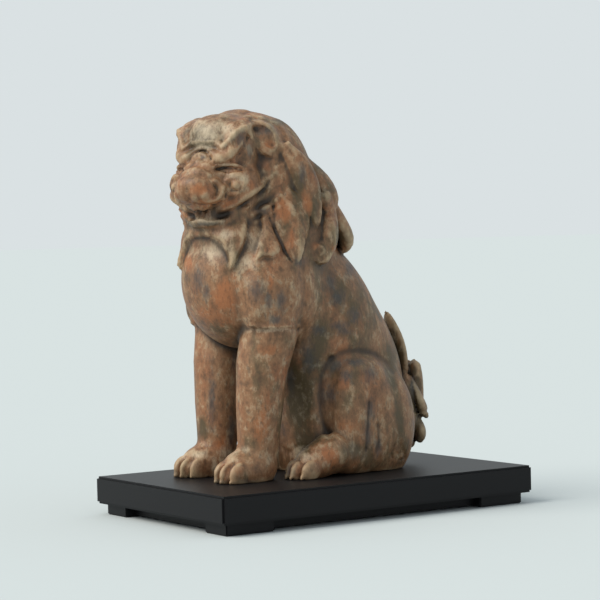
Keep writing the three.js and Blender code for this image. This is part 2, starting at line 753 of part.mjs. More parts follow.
shapeTorso();
shapeForelegs();
shapeHaunches();
shapeHindFeet();
shapeTail();
shapeManeCore();
shapeSkull();
shapeMouth();
shapeNose();
shapeEyesAndBrows();
shapeEars();
shapeManeLocks();
shapeRuffLocks();

const statuette = new THREE.Group();

const lion = new THREE.Mesh(carveLion(), finishes.wood);
lion.name = 'lion';
statuette.add(lion);

const plinth = new THREE.Mesh(shapePlinth(await makeJoiner()), finishes.lacquer);
plinth.name = 'plinth';
statuette.add(plinth);

export default statuette;
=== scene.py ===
# A carved wooden guardian lion, seated on a low black plinth
import bmesh
import bpy
import numpy as np
from mathutils import Matrix, Vector


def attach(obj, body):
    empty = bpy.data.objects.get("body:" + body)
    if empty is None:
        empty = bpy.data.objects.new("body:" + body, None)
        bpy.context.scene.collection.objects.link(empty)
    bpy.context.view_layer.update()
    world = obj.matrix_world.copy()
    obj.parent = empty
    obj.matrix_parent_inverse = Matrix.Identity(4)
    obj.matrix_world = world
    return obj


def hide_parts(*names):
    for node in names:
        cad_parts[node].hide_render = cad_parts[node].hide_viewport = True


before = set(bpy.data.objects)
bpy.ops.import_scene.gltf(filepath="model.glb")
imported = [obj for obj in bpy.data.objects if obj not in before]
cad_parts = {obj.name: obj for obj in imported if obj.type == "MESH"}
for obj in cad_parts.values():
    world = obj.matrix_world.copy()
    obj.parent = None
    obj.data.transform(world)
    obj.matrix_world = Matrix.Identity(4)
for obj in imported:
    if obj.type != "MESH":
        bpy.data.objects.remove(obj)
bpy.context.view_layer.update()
mm = 0.001

# The eye that the photograph was taken from, in millimetres and degrees
eye = {
    "azimuth": 55.63,
    "elevation": 2.13,
    "roll": -1.31,
    "away": 500.0,
    "target": (0.0, 0.0, 45.0),
    "lens": 132.68,
    "shift": (-0.0180, 0.0173),
}

# The drawing sheet stands at the target, square to the eye, and takes the picture as 600 x 600. A line of
# sight is searched for the clay this far in front of the target and behind it, in such steps, in millimetres
sheet = {"middle": (310.78, 310.37), "perMm": 4.42256, "search": 45, "step": 0.25}


def sightAxes():
    azimuth, elevation, roll = np.radians([eye["azimuth"], eye["elevation"], eye["roll"]])
    flat = np.cos(elevation)
    back = np.array([np.sin(azimuth) * flat, -np.cos(azimuth) * flat, np.sin(elevation)])
    level = np.array([np.cos(azimuth), np.sin(azimuth), 0.0])
    upright = np.cross(back, level)
    right = np.cos(roll) * level + np.sin(roll) * upright
    up = -np.sin(roll) * level + np.cos(roll) * upright
    return right, up, back


sightRight, sightUp, sightBack = sightAxes()
eyeAt = np.array(eye["target"]) + sightBack * eye["away"]


def makeCamera():
    cameraData = bpy.data.cameras.new("studioCamera")
    cameraData.lens = eye["lens"]
    cameraData.shift_x, cameraData.shift_y = eye["shift"]
    cameraData.clip_start = 0.05
    cameraData.clip_end = 20
    camera = bpy.data.objects.new("studioCamera", cameraData)
    turn = Matrix((sightRight, sightUp, sightBack)).transposed()
    camera.matrix_world = Matrix.Translation(Vector(eyeAt * mm)) @ turn.to_4x4()
    bpy.context.collection.objects.link(camera)
    bpy.context.scene.camera = camera


makeCamera()
print("camera placed")


# Forms are distances to a surface, in millimetres, and melt together as clay on a grid
def unit(v):
    v = np.asarray(v, float)
    return v / np.linalg.norm(v, axis=-1, keepdims=True)


class Place:
    # A turned middle plane that a pair of forms is mirrored in
    def __init__(self, x, y, z, turn):
        a = np.radians(turn)
        self.at = np.array([x, y, z], float)
        self.axes = np.array([[np.cos(a), np.sin(a), 0], [-np.sin(a), np.cos(a), 0], [0, 0, 1.0]])

    def inside(self, p):
        return (np.asarray(p, float) - self.at) @ self.axes.T

    def outside(self, q):
        return self.at + np.asarray(q, float) @ self.axes


def ball(at, radii, tilt=0.0):
    at, radii = np.asarray(at, float), np.asarray(radii, float)
    c, s = np.cos(np.radians(tilt)), np.sin(np.radians(tilt))
    reach = np.array([radii[0], np.hypot(c * radii[1], s * radii[2]), np.hypot(s * radii[1], c * radii[2])])

    def distance(x, y, z):
        dx, dy, dz = x - at[0], y - at[1], z - at[2]
        a, b, d = dx / radii[0], (c * dy + s * dz) / radii[1], (-s * dy + c * dz) / radii[2]
        near = np.sqrt(a * a + b * b + d * d)
        slope = np.sqrt((a / radii[0]) ** 2 + (b / radii[1]) ** 2 + (d / radii[2]) ** 2)
        return near * (near - 1) / np.maximum(slope, 1e-6)
    return at - reach, at + reach, distance


def block(at, radii, power):
    at, radii = np.asarray(at, float), np.asarray(radii, float)

    def distance(x, y, z):
        total = np.abs((x - at[0]) / radii[0]) ** power + np.abs((y - at[1]) / radii[1]) ** power
        total = total + np.abs((z - at[2]) / radii[2]) ** power
        return (total ** (1 / power) - 1) * radii.min()
    return at - radii, at + radii, distance


# Rods of changing thickness through points (x, y, z, radius)
def limb(chain):
    chain = np.asarray(chain, float)
    low = (chain[:, :3] - chain[:, 3:]).min(0)
    high = (chain[:, :3] + chain[:, 3:]).max(0)

    def distance(x, y, z):
        best = None
        for a, b in zip(chain[:-1], chain[1:]):
            e = b[:3] - a[:3]
            dx, dy, dz = x - a[0], y - a[1], z - a[2]
            t = np.clip((dx * e[0] + dy * e[1] + dz * e[2]) / max(e @ e, 1e-9), 0, 1)
            gap = np.sqrt((dx - t * e[0]) ** 2 + (dy - t * e[1]) ** 2 + (dz - t * e[2]) ** 2)
            gap = gap - a[3] - t * (b[3] - a[3])
            best = gap if best is None else np.minimum(best, gap)
        return best
    return low, high, distance


# A smooth path through points
def curve(points, steps=12):
    points = np.asarray(points, float)
    if len(points) < 3:
        t = np.linspace(0, 1, steps + 1)[:, None]
        return points[0] * (1 - t) + points[-1] * t
    ends = np.vstack([2 * points[0] - points[1], points, 2 * points[-1] - points[-2]])
    each = max(2, int(np.ceil(steps / (len(points) - 1))))
    path = []
    for p0, p1, p2, p3 in zip(ends[:-3], ends[1:-2], ends[2:-1], ends[3:]):
        for t in np.linspace(0, 1, each, endpoint=False):
            path.append(0.5 * (2 * p1 + (p2 - p0) * t + (2 * p0 - 5 * p1 + 4 * p2 - p3) * t * t
                               + (3 * p1 - p0 - 3 * p2 + p3) * t ** 3))
    path.append(points[-1])
    return np.array(path)


# A leaf of hair along a path: it swells to its belly and runs out to a tip
def lock(points, width, thick, outward, root=0.9, belly=0.4, point=1.6, groove=0.0):
    path = curve(points)
    ahead = unit(np.gradient(path, axis=0))
    up = np.array([outward(p) if callable(outward) else np.asarray(outward, float) for p in path])
    up = unit(up - (up * ahead).sum(1)[:, None] * ahead)
    side = np.cross(ahead, up)
    along = np.r_[0, np.cumsum(np.linalg.norm(np.diff(path, axis=0), axis=1))]
    along /= along[-1]
    swell = np.where(along < belly, root + (1 - root) * np.sin(np.pi / 2 * along / belly), 1.0)
    taper = np.where(along > belly, (1 - np.clip((along - belly) / (1 - belly), 0, 1) ** point) ** 0.8, 1.0)
    taper = np.maximum(taper, 0.02)
    w, h = width * swell * taper, thick * swell * np.maximum(taper, 0.05) ** 0.6
    reach = max(width, thick)

    def distance(x, y, z):
        best = None
        for i in range(len(path) - 1):
            a, e = path[i], path[i + 1] - path[i]
            t = np.clip(((x - a[0]) * e[0] + (y - a[1]) * e[1] + (z - a[2]) * e[2]) / (e @ e), 0, 1)
            dx, dy, dz = x - a[0] - t * e[0], y - a[1] - t * e[1], z - a[2] - t * e[2]
            nx, ny, nz = [up[i, k] + t * (up[i + 1, k] - up[i, k]) for k in range(3)]
            sx, sy, sz = [side[i, k] + t * (side[i + 1, k] - side[i, k]) for k in range(3)]
            ww, hh = w[i] + t * (w[i + 1] - w[i]), h[i] + t * (h[i + 1] - h[i])
            across, out = dx * sx + dy * sy + dz * sz, dx * nx + dy * ny + dz * nz
            rest = np.maximum(dx * dx + dy * dy + dz * dz - across ** 2 - out ** 2, 0)
            if groove:
                out = out + groove * np.exp(-(across / (0.26 * ww + 0.1)) ** 2) * (out > 0)
            near = np.sqrt((across / ww) ** 2 + (out / hh) ** 2 + rest / hh ** 2)
            slope = np.sqrt((across / ww ** 2) ** 2 + (out / hh ** 2) ** 2 + rest / hh ** 4)
            gap = np.maximum(near * (near - 1) / np.maximum(slope, 1e-6), -np.minimum(ww, hh))
            best = gap if best is None else np.minimum(best, gap)
        return best
    return path.min(0) - reach, path.max(0) + reach, distance


# Sheet place of points in space, and their depth from the eye
def onSheet(p):
    d = p - eyeAt
    deep = -(d @ sightBack)
    across = (d @ sightRight) * eye["away"] / deep
    high = (d @ sightUp) * eye["away"] / deep
    return sheet["middle"][0] + across * sheet["perMm"], sheet["middle"][1] - high * sheet["perMm"], deep


# Relief in millimetres: room around a drawing, depth of skin that moves, and where it fades at its reach
relief = {"room": 3.0, "skin": 4, "fade": 2}


class Clay:
    def __init__(self, low, high, cell):
        self.cell = cell
        self.low = np.asarray(low, float)
        count = np.ceil((np.asarray(high, float) - self.low) / cell).astype(int) + 1
        self.axes = [(self.low[i] + cell * np.arange(count[i])).astype(np.float32) for i in range(3)]
        self.field = np.full(count, 50.0, np.float32)  # empty: far from any form

    # The slice of the grid that a box in a place covers
    def part(self, place, low, high, margin):
        corners = [[(low, high)[i][0], (low, high)[j][1], (low, high)[k][2]]
                   for i in (0, 1) for j in (0, 1) for k in (0, 1)]
        corners = place.outside(corners)
        low, high = corners.min(0) - margin, corners.max(0) + margin
        slices = []
        for i in range(3):
            first = int((low[i] - self.low[i]) / self.cell)
            last = int((high[i] - self.low[i]) / self.cell) + 2
            slices.append(slice(max(first, 0), max(0, min(last, len(self.axes[i])))))
        return tuple(slices)

    def work(self, place, blend, shape, paired=False, cut=False):
        low, high, distance = shape
        if paired:
            wide = max(abs(low[0]), abs(high[0]))
            low, high = np.array([-wide, low[1], low[2]]), np.array([wide, high[1], high[2]])
        meltRoom = blend * 1.2 + 3 * self.cell + 1
        part = self.part(place, low, high, meltRoom)
        dx = self.axes[0][part[0]][:, None, None] - np.float32(place.at[0])
        dy = self.axes[1][part[1]][None, :, None] - np.float32(place.at[1])
        z = self.axes[2][part[2]][None, None, :] - np.float32(place.at[2])
        m = place.axes.astype(np.float32)
        x, y = m[0, 0] * dx + m[0, 1] * dy, m[1, 0] * dx + m[1, 1] * dy
        if paired:
            x = np.abs(x)
        near = distance(x, y, z).astype(np.float32) * (-1 if cut else 1)
        old = self.field[part]
        melt = np.maximum(blend - np.abs(old - near), 0) ** 2 / (4 * blend) if blend > 0 else 0
        self.field[part] = np.maximum(old, near) + melt if cut else np.minimum(old, near) - melt

    def add(self, place, blend, shape):
        self.work(place, blend, shape)

    def addPair(self, place, blend, shape):
        self.work(place, blend, shape, paired=True)

    def carvePair(self, place, blend, shape):
        self.work(place, blend, shape, paired=True, cut=True)

    def value(self, p, field=None):
        field = self.field if field is None else field
        g = np.clip((np.asarray(p, float) - self.low) / self.cell, 0, np.array(field.shape) - 1.001)
        i = g.astype(int)
        f = g - i
        total = 0
        for a in (0, 1):
            for b in (0, 1):
                for c in (0, 1):
                    w = np.abs(1 - a - f[..., 0]) * np.abs(1 - b - f[..., 1]) * np.abs(1 - c - f[..., 2])
                    total = total + w * field[i[..., 0] + a, i[..., 1] + b, i[..., 2] + c]
        return total

    def slope(self, p):
        steps = np.eye(3) * self.cell
        return unit(np.stack([self.value(p + e) - self.value(p - e) for e in steps], -1))

    # Where the line of sight through each sheet point meets the clay
    def lay(self, points):
        points = np.asarray(points, float)
        across = (points[:, :1] - sheet["middle"][0]) / sheet["perMm"]
        high = (sheet["middle"][1] - points[:, 1:2]) / sheet["perMm"]
        ways = unit(np.array(eye["target"]) + across * sightRight + high * sightUp - eyeAt)
        steps = np.arange(eye["away"] - sheet["search"], eye["away"] + sheet["search"], sheet["step"])
        p = eyeAt + ways[:, None, :] * steps[None, :, None]
        v = self.value(p)
        hit = v < 0
        first = np.where(hit.any(1), hit.argmax(1), np.argmin(v, 1))
        laid = []
        for n, k in enumerate(first):
            k = max(k, 1)
            a, b = v[n, k - 1], v[n, k]
            t = a / (a - b) if (a > 0) != (b > 0) else 1
            laid.append(p[n, k - 1] + t * (p[n, k] - p[n, k - 1]))
        return np.array(laid)

    # A rope laid on the clay along sheet points: a raised roll, or a groove where cut is set
    def rope(self, place, points, radius, lift=0.0, blend=0.4, cut=False):
        laid = self.lay(curve(points, 5 * len(points) if len(points) > 2 else 3))
        q = place.inside(laid + self.slope(laid) * lift)
        q[:, 0] = np.abs(q[:, 0])
        radii = np.atleast_1d(np.asarray(radius, float))
        radii = np.interp(np.linspace(0, 1, len(q)), np.linspace(0, 1, len(radii)), radii)
        self.work(place, blend, limb(np.column_stack([q, radii])), paired=True, cut=cut)

    def bead(self, place, point, radii, sink=0.0, blend=0.4, cut=False):
        laid = self.lay([point])
        at = place.inside(laid - self.slope(laid) * sink)[0]
        self.work(place, blend, ball(at, radii), paired=True, cut=cut)

    def layLock(self, place, points, width, thick, lift, outward, blend=0.3, **form):
        laid = self.lay(points)
        laid = laid + self.slope(laid) * lift
        self.work(place, blend, lock(place.inside(laid), width, thick, outward, **form), paired=True)

    # Low relief: lines and leaves drawn on the sheet, with their widths there, push the skin out or in by
    # their height in millimetres. It acts on what the eye sees and on the mirrored side
    def draw(self, place, drawings, reach=12.0):
        for kind, points, width, height in drawings:
            path = curve(np.vstack([points, points[:1]]) if kind == "leaf" else points, 5 * len(points))
            laid = self.lay(path)
            middle = np.median(onSheet(laid)[2])
            q = place.inside(laid)
            pad = relief["room"] if kind == "leaf" else relief["room"] + width / 2
            low, high = q.min(0) - pad, q.max(0) + pad
            for side in (1, -1):
                ends = sorted([low[0] * side, high[0] * side])
                part = self.part(place, np.array([ends[0], *low[1:]]), np.array([ends[1], *high[1:]]), 0)
                field = self.field[part]
                near = np.nonzero(np.abs(field) < relief["skin"])
                p = np.stack([self.axes[i][part[i]][near[i]] for i in range(3)], -1).astype(float)
                q = place.inside(p)
                own = q[:, 0] * side > 0
                q[:, 0] *= side
                u, v, deep = onSheet(place.outside(q))
                if kind == "leaf":
                    rise = height * (1 - (1 - np.clip(toShape(u, v, path) / width, 0, 1)) ** 2)
                else:
                    rise = height * np.exp(-(toLine(u, v, path) / width) ** 2)
                fade = np.clip((reach - np.abs(deep - middle)) / relief["fade"], 0, 1)
                field[near] -= (rise * fade * own).astype(np.float32)
                self.field[part] = field


# How far sheet places are from a line, and how far inside a ring
def toLine(u, v, line):
    best = None
    for (ax, ay), (bx, by) in zip(line[:-1], line[1:]):
        ex, ey = bx - ax, by - ay
        t = np.clip(((u - ax) * ex + (v - ay) * ey) / max(ex * ex + ey * ey, 1e-9), 0, 1)
        d = (u - ax - t * ex) ** 2 + (v - ay - t * ey) ** 2
        best = d if best is None else np.minimum(best, d)
    return np.sqrt(best)


def toShape(u, v, ring):
    inside = np.zeros(np.shape(u), bool)
    for (ax, ay), (bx, by) in zip(ring, np.roll(ring, -1, axis=0)):
        if ay != by:
            inside ^= ((ay > v) != (by > v)) & (u < (bx - ax) * (v - ay) / (by - ay) + ax)
    gap = toLine(u, v, np.vstack([ring, ring[:1]]))
    return np.where(inside, gap, -gap)


# The lion, in millimetres: the plinth's top that it is cut flat on, the clay's grid, and for the materials
# how wide ridges and broad swells are and the height at which they count in full
lion = {
    "standOn": 8.6,
    "cell": 0.4,
    "low": (-24, -40, 6.4),
    "high": (20, 36, 92),
    "ridge": (0.9, 0.35),
    "swell": (2.2, 1.0),
    "mostTriangles": 190000,
}

# Middle planes that the body, the head and the ruff are mirrored in, the last two turned by so many degrees
body = Place(-2, 0, 0, 0)
head = Place(-2, -21.2, 76, 27)
ruff = Place(-2, -17, 60, 10)


# Outward from the middle of the mane, for the locks that lie on it
def fromMane(p):
    v = np.asarray(p, float) - np.array([0, -8.0, 66.0])
    v[2] *= 0.35
    return unit(v)


def shapeTorso(clay):
    clay.add(body, 0, ball((0, -15.8, 52.5), (14.2, 14.6, 15.5)))
    clay.add(body, 5, ball((0, 2.6, 40.6), (12.6, 15.4, 25), 27))
    clay.add(body, 5, ball((0, 8.6, 21), (12.0, 13.6, 17)))
    clay.add(body, 3, block((0, 3, 19), (11, 9, 17), 3))
    clay.add(body, 4, ball((0, 13.2, 31), (9.5, 10.6, 15.5), 18))
    clay.addPair(body, 4, ball((9.2, -13.5, 50), (6, 9, 10.5)))


# The toes of one paw with their claws, and the grooves that part them
def shapeToes(clay, toes, size, claw, grooves, path):
    for x, y, z in toes:
        clay.addPair(body, 0.35, ball((x, y, z), size, 22))
        clay.addPair(body, 0.1, limb([(x, y - claw[0], claw[2], 0.6), (x, y - claw[1], 9.0, 0.4)]))
    for x in grooves:
        clay.carvePair(body, 0.3, limb([(x, *spot) for spot in path]))


def shapeForelegs(clay):
    x, y = 8.4, -19.1
    clay.addPair(body, 0.8, limb([(x + 1.2, y + 2.9, 41.5, 6.3), (x + 0.5, y + 1.2, 34, 5.8),
                                  (x + 0.2, y + 0.4, 25, 5.2), (x, y, 18, 4.65), (x, y - 0.4, 12.5, 4.2)]))
    clay.addPair(body, 1.5, ball((x, y - 2.9, 11.0), (4.8, 6.5, 4.8)))
    toes = [(x + across, y + back, 10.6)
            for across, back in ((-3.3, -6.6), (-1.15, -7.9), (1.15, -8.0), (3.3, -6.8))]
    shapeToes(clay, toes, (1.12, 3.0, 2.6), (2.0, 2.7, 10.0), [x + across for across in (-2.2, 0.0, 2.2)],
              [(y - 7.3, 13.2, 0.25), (y - 9.7, 11.4, 0.45), (y - 10.5, 9.0, 0.5)])
    # shoulder mass that overhangs the leg at the elbow
    clay.addPair(body, 1.5, block((9.3, -17.2, 48.3), (6.5, 7.0, 7.0), 3.2))


def shapeHaunches(clay):
    clay.addPair(body, 1.2, block((10.0, 5.8, 21.6), (6.4, 7.6, 13.4), 3.0))
    clay.addPair(body, 2.0, ball((8.6, 12.6, 19.0), (7, 9.8, 14)))
    clay.carvePair(body, 1.4, limb([(17.6, 9.0, 25, 0.8), (17.5, 8.0, 19, 1.1), (17, 7.6, 14, 0.9)]))
    clay.addPair(body, 0.9, limb([(12, 5, 11.5, 3.2), (12.8, -3, 13.6, 4.6), (12.8, -8, 11.6, 3.8)]))
    x, y = 12.8, -11.8
    toes = [(x + across, y + back, 10.5)
            for across, back in ((-3.2, 1.7), (-1.1, 0.1), (1.1, -0.1), (3.3, 1.3))]
    shapeToes(clay, toes, (1.1, 2.6, 2.2), (1.9, 2.6, 10.1), [x + across for across in (-2.15, 0.0, 2.2)],
              [(-10.8, 13.2, 0.25), (-13.6, 11.4, 0.5), (-14.4, 9.0, 0.55)])


def shapeTail(clay):
    clay.add(body, 0.3, lock([(0, 26.0, 26), (0, 25.0, 35.5), (0, 22.6, 44.2)], 3.9, 1.3, (0, 1, 0.5),
                             point=2, groove=0.5))
    clay.add(body, 1.5, ball((0, 24.5, 20.5), (6.5, 4.6, 9.5)))
    clay.add(body, 1.0, ball((0, 26.6, 28), (2.6, 1.8, 4.5)))
    clay.addPair(body, 0.3, lock([(0.6, 28.0, 13), (1.7, 29.4, 22), (2.2, 28.8, 32.6)], 3.0, 1.8,
                                 (0.5, 1, 0), root=0.8, belly=0.6, point=5, groove=0.5))
    clay.addPair(body, 0.3, lock([(2.6, 26.2, 28), (4.9, 27.8, 22.8), (5.0, 30.3, 18.8)], 2.8, 1.6,
                                 (0.7, 1, 0), belly=0.5, groove=0.5))
    clay.addPair(body, 0.3, lock([(1, 26.8, 21), (3.6, 28.3, 16.4), (4.7, 28.4, 13.6)], 3.0, 1.7,
                                 (0.5, 1, 0), belly=0.6, point=3, groove=0.5))


def shapeMane(clay):
    clay.add(body, 2, ball((0, -10.8, 72.0), (11.8, 11.2, 17.2)))
    clay.add(body, 3, ball((0, -7.5, 62), (13.2, 12.8, 12)))
    clay.add(ruff, 1.5, ball((0, -2.2, 1.5), (11, 9.4, 6.5)))
    clay.addPair(body, 1.5, ball((2.7, -0.6, 73.4), (2.3, 3.2, 4.6)))
    clay.addPair(body, 1.0, ball((6.5, -1.2, 71), (1.4, 2.4, 3)))
    blunt = dict(root=0.8, belly=0.7, point=3)
    clay.add(body, 0.5, lock([(0, -1.0, 79.5), (0, 5.2, 70), (0, 8.7, 61.4), (0, 8.8, 57.2)], 4, 2, fromMane,
                             root=0.45, belly=0.7, point=2.4, groove=0.7))
    clay.addPair(body, 0.4, lock([(4.6, -0.8, 76), (5.5, 4.1, 67.4), (5.9, 7.2, 61.4), (5.5, 7.0, 58.0)],
                                 3.8, 2, fromMane, root=0.5, belly=0.7, point=2.6, groove=0.6))
    clay.addPair(body, 0.4, lock([(5.6, -9.0, 82), (6.8, -5.4, 78), (8.4, -1.0, 73.8), (8.9, 1.1, 70),
                                  (8.5, 1.0, 67.2)], 3.3, 2.1, fromMane, **blunt))
    clay.layLock(body, [(287, 190), (296, 204), (302, 222), (305, 240)], 2.2, 1.2, 0.1, fromMane,
                 root=0.3, belly=0.5)
    clay.layLock(body, [(325, 196), (328, 212), (328, 230), (326, 246), (320, 256)], 2.5, 1.9, 0.4, fromMane,
                 root=0.7, belly=0.6, point=3)
    clay.layLock(body, [(279, 198), (286, 214), (291, 236), (296.5, 266)], 3.5, 1.7, 0.2, fromMane,
                 root=0.35, belly=0.45, groove=0.5)
    clay.layLock(body, [(284, 148), (296, 164), (305, 186), (311, 206), (316, 229)], 3.4, 2.1, 0.4, fromMane,
                 root=0.45, belly=0.5, groove=0.25)
    clay.bead(body, (320.5, 252), (1.8, 2.6, 2.7), 0.6, 0.5)
    clay.rope(body, [(333, 222), (335, 238), (332, 252), (325, 260.5), (317, 260.5), (312, 253.5),
                     (315.5, 247), (321.5, 247), (324, 251.5), (320.5, 254.5)],
              (0.3, 0.4, 0.45, 0.4, 0.3), 0.0, 0.3)


def shapeRuff(clay):
    clay.draw(ruff, [
        ("leaf", [(190, 205), (215, 200), (235, 200), (246, 215), (247, 233), (244, 245), (239, 256),
                  (231, 270), (228, 257), (222, 245), (214, 239), (204, 236.5), (196, 238), (190, 244),
                  (187, 236)], 3.2, 1.1),
        ("leaf", [(258, 205), (272, 205), (275, 228), (283, 248), (274, 257), (262, 258), (255, 263.5),
                  (258, 247), (262, 232)], 4, 0.9),
        ("line", [(190, 246), (193, 240.5), (200, 236.5), (208, 236.5), (215.5, 240), (222, 246), (226, 252),
                  (229.5, 261), (231, 268)], 1.1, 0.3),
        ("line", [(233, 232), (233.5, 250), (232, 264)], 2.2, 0.3),
        ("line", [(262, 232), (258.5, 246), (255.5, 261)], 1.2, 0.25),
        ("line", [(268, 214), (276, 234), (283, 249), (292, 262)], 1.4, -0.4),
    ], reach=14)


def shapeSkull(clay):
    clay.add(head, 1.5, block((0, 0.5, 1), (8.4, 9, 12), 2.5))
    clay.add(head, 1.2, block((0, 1.0, 6.4), (5.7, 9.4, 6.3), 3))
    clay.add(head, 1.5, ball((0, 7.0, 4.6), (10.8, 8.6, 9.9)))
    clay.addPair(head, 1.2, ball((7.2, -3.2, -2.8), (3.4, 4.8, 4.2)))
    clay.addPair(head, 1.5, ball((4.6, -1.5, -7.6), (3.8, 6, 4.6)))
    clay.addPair(head, 1.5, ball((6.4, 0, -9.0), (3.3, 5, 4.2)))
    clay.add(head, 0.8, block((0, -5.2, -10.3), (4.4, 5.3, 2.0), 2.8))
    clay.add(head, 1, block((0, -7.6, -4.4), (6.0, 6.2, 3.2), 2.4))
    clay.add(head, 1, ball((0, -9.4, -1.8), (4.3, 4.6, 3.8)))
    clay.add(head, 0.9, block((0, -11.6, -3.4), (4.3, 4.1, 3.2), 2.6))


def shapeBrow(clay):
    # brow band, arched over the root of the nose and up past the temple
    clay.addPair(head, 2.0, limb([(0, -8.8, 4.1, 0.9), (1.1, -8.6, 3.7, 1.2), (2.7, -8.3, 2.8, 1.7),
                                  (4.3, -7.9, 2.9, 2.0), (5.4, -7.1, 3.7, 2.1), (6.2, -6.1, 5.1, 1.9),
                                  (6.9, -5.2, 6.7, 1.7), (7.4, -4.4, 8.2, 1.6), (7.5, -3.3, 9.3, 1.6),
                                  (7.0, -1.4, 10.3, 1.5), (6.2, 0.6, 11.2, 1.1)]))
    clay.addPair(head, 1.5, ball((7.6, -2.4, 4.4), (1.9, 2.6, 3.8)))
    clay.addPair(head, 1.5, ball((5.6, -2.5, 8.7), (2.6, 4.0, 2.7)))
    clay.addPair(head, 0.8, ball((3.2, -8.5, -0.2), (1.6, 1.6, 1.6)))
    clay.addPair(head, 1.0, ball((5.0, -6.5, -0.4), (3.6, 2.2, 2.2)))
    clay.add(head, 0.4, ball((0, -10.0, 2.4), (0.95, 0.95, 0.9)))
    # thin frame of the forehead panel
    clay.rope(head, [(204, 141.5), (211, 142), (217, 143), (221.5, 147), (225, 144.5), (230, 139.5),
                     (236, 132), (241, 128.5), (246, 127)], (0.45, 0.5, 0.55, 0.5, 0.4), 0.0, 0.6)
    clay.rope(head, [(197, 163.5), (206, 165), (211, 168)], 0.8, -0.3, 0.6)
    clay.rope(head, [(194, 169.5), (203, 171.5), (208, 175)], 0.7, -0.4, 0.6)
    clay.draw(head, [
        ("line", [(200, 146.5), (208, 147), (216, 148.2), (221, 151.5), (227, 148.5), (233, 141)],
         2.1, -0.22),
        ("line", [(236, 145), (240, 139), (244, 134)], 3.4, -0.55),
        ("line", [(202, 150.5), (206.5, 151.8), (209.7, 156), (211, 159.5)], 1.7, -0.75),
        ("line", [(216, 164.6), (221, 164.8), (227, 163.3), (233, 159.5), (239, 153.5), (245, 144),
                  (247.5, 137)], 1.9, -0.5),
    ])


def shapeEars(clay):
    earFace = (0.55, -0.72, 0.42)
    clay.addPair(head, 0.8, lock([(6.2, 0.0, 10.0), (9.2, 1.0, 7.8), (11.8, 2.4, 3.8)], 3.2, 2.4, earFace,
                                 root=0.75, belly=0.5, point=2.4))
    clay.addPair(head, 1.5, ball((8.8, 4.2, 6.0), (2.8, 3.0, 4.4)))
    clay.addPair(head, 1.5, ball((7.4, 4.4, 8.0), (2.6, 3.2, 3.5)))
    clay.draw(head, [
        ("leaf", [(251, 127.5), (258, 124.5), (266, 126), (272, 131), (275.5, 139), (275.5, 148), (270, 149),
                  (264, 145), (257, 137.5)], 4.5, -0.95),
        ("line", [(250, 125), (258, 121.5), (267, 123.5), (275, 128.5), (280.5, 137), (281.5, 147)],
         1.7, 0.25),
        ("line", [(248.5, 130), (253, 138.5), (258.5, 146.5), (266, 153), (276, 157.5)], 1.7, 0.35),
        ("line", [(238, 120.5), (246, 117), (255, 115.3), (263, 117)], 1.7, 0.25),
        ("line", [(236, 126), (245, 122.5), (252, 120)], 1.6, -0.2),
        ("line", [(243, 113.5), (256, 111.5), (270, 116), (283, 124), (292, 135)], 1.5, -0.25),
        ("line", [(260, 117.5), (270, 120.5), (281, 127), (288, 137), (290, 150)], 1.8, 0.3),
    ], reach=6)


def shapeEyes(clay):
    clay.rope(head, [(219, 170), (227, 169.4), (237, 170.6)], (0.9, 1.4, 0.9), 0.35, 0.3, cut=True)
    clay.rope(head, [(220.5, 170), (228.5, 169.7), (236, 170.6)], (0.6, 1.0, 0.6), -0.25, 0.1)
    clay.rope(head, [(213.5, 167.5), (220, 165.6), (228, 164.8), (236, 165.6), (246, 169.5)],
              (0.3, 0.42, 0.42, 0.3), 0.15, 0.3)
    clay.rope(head, [(217, 171.8), (222, 174.2), (229, 174.8), (236, 173.6), (241, 171.2)],
              (0.3, 0.38, 0.38, 0.3), 0.12, 0.3)
    clay.draw(head, [
        ("line", [(216.5, 169.2), (224, 168.2), (232, 168.4), (241, 170.2)], 1.4, -0.45),
        ("line", [(217, 179), (225, 180.3), (233, 178.5)], 2.2, 0.3),
        ("line", [(238, 175.5), (244, 178), (246, 183)], 2.4, 0.4),
        ("line", [(226, 180.5), (224.6, 186), (227.3, 192), (233.5, 194.5), (240, 192), (243.5, 186)],
         1.7, 0.32),
        ("line", [(228.8, 181.5), (228, 185), (228.8, 188.5)], 2.0, 0.3),
        ("line", [(232, 181), (231.3, 185), (233, 189), (237, 190.5), (240.2, 187.5)], 1.5, -0.3),
    ])
    clay.bead(head, (235.5, 185), (1.1, 1.1, 1.1), 0.3, 0.4)


def shapeNose(clay):
    clay.draw(head, [
        ("line", [(214, 180.5), (219, 183.2), (222.3, 187.5), (223, 192.5), (220.5, 197), (215, 200.5),
                  (208, 202.5)], 2.3, 0.34),
        ("line", [(214, 185), (216.7, 189), (217, 193.5), (215, 197)], 1.7, -0.4),
        ("leaf", [(203, 191), (208, 190), (211, 193), (211.5, 198), (208, 201), (202.5, 199.5),
                  (200.5, 195.5)], 4.0, 0.25),
        ("line", [(188.5, 191), (190, 197), (189.5, 204)], 1.6, -0.45),
        ("line", [(196, 203.5), (204, 204.5), (212, 204.5), (220, 201.5), (225, 196), (226.5, 190)],
         1.3, -0.4),
        ("line", [(200, 176), (206, 177.5), (211, 180)], 1.5, -0.2),
    ])


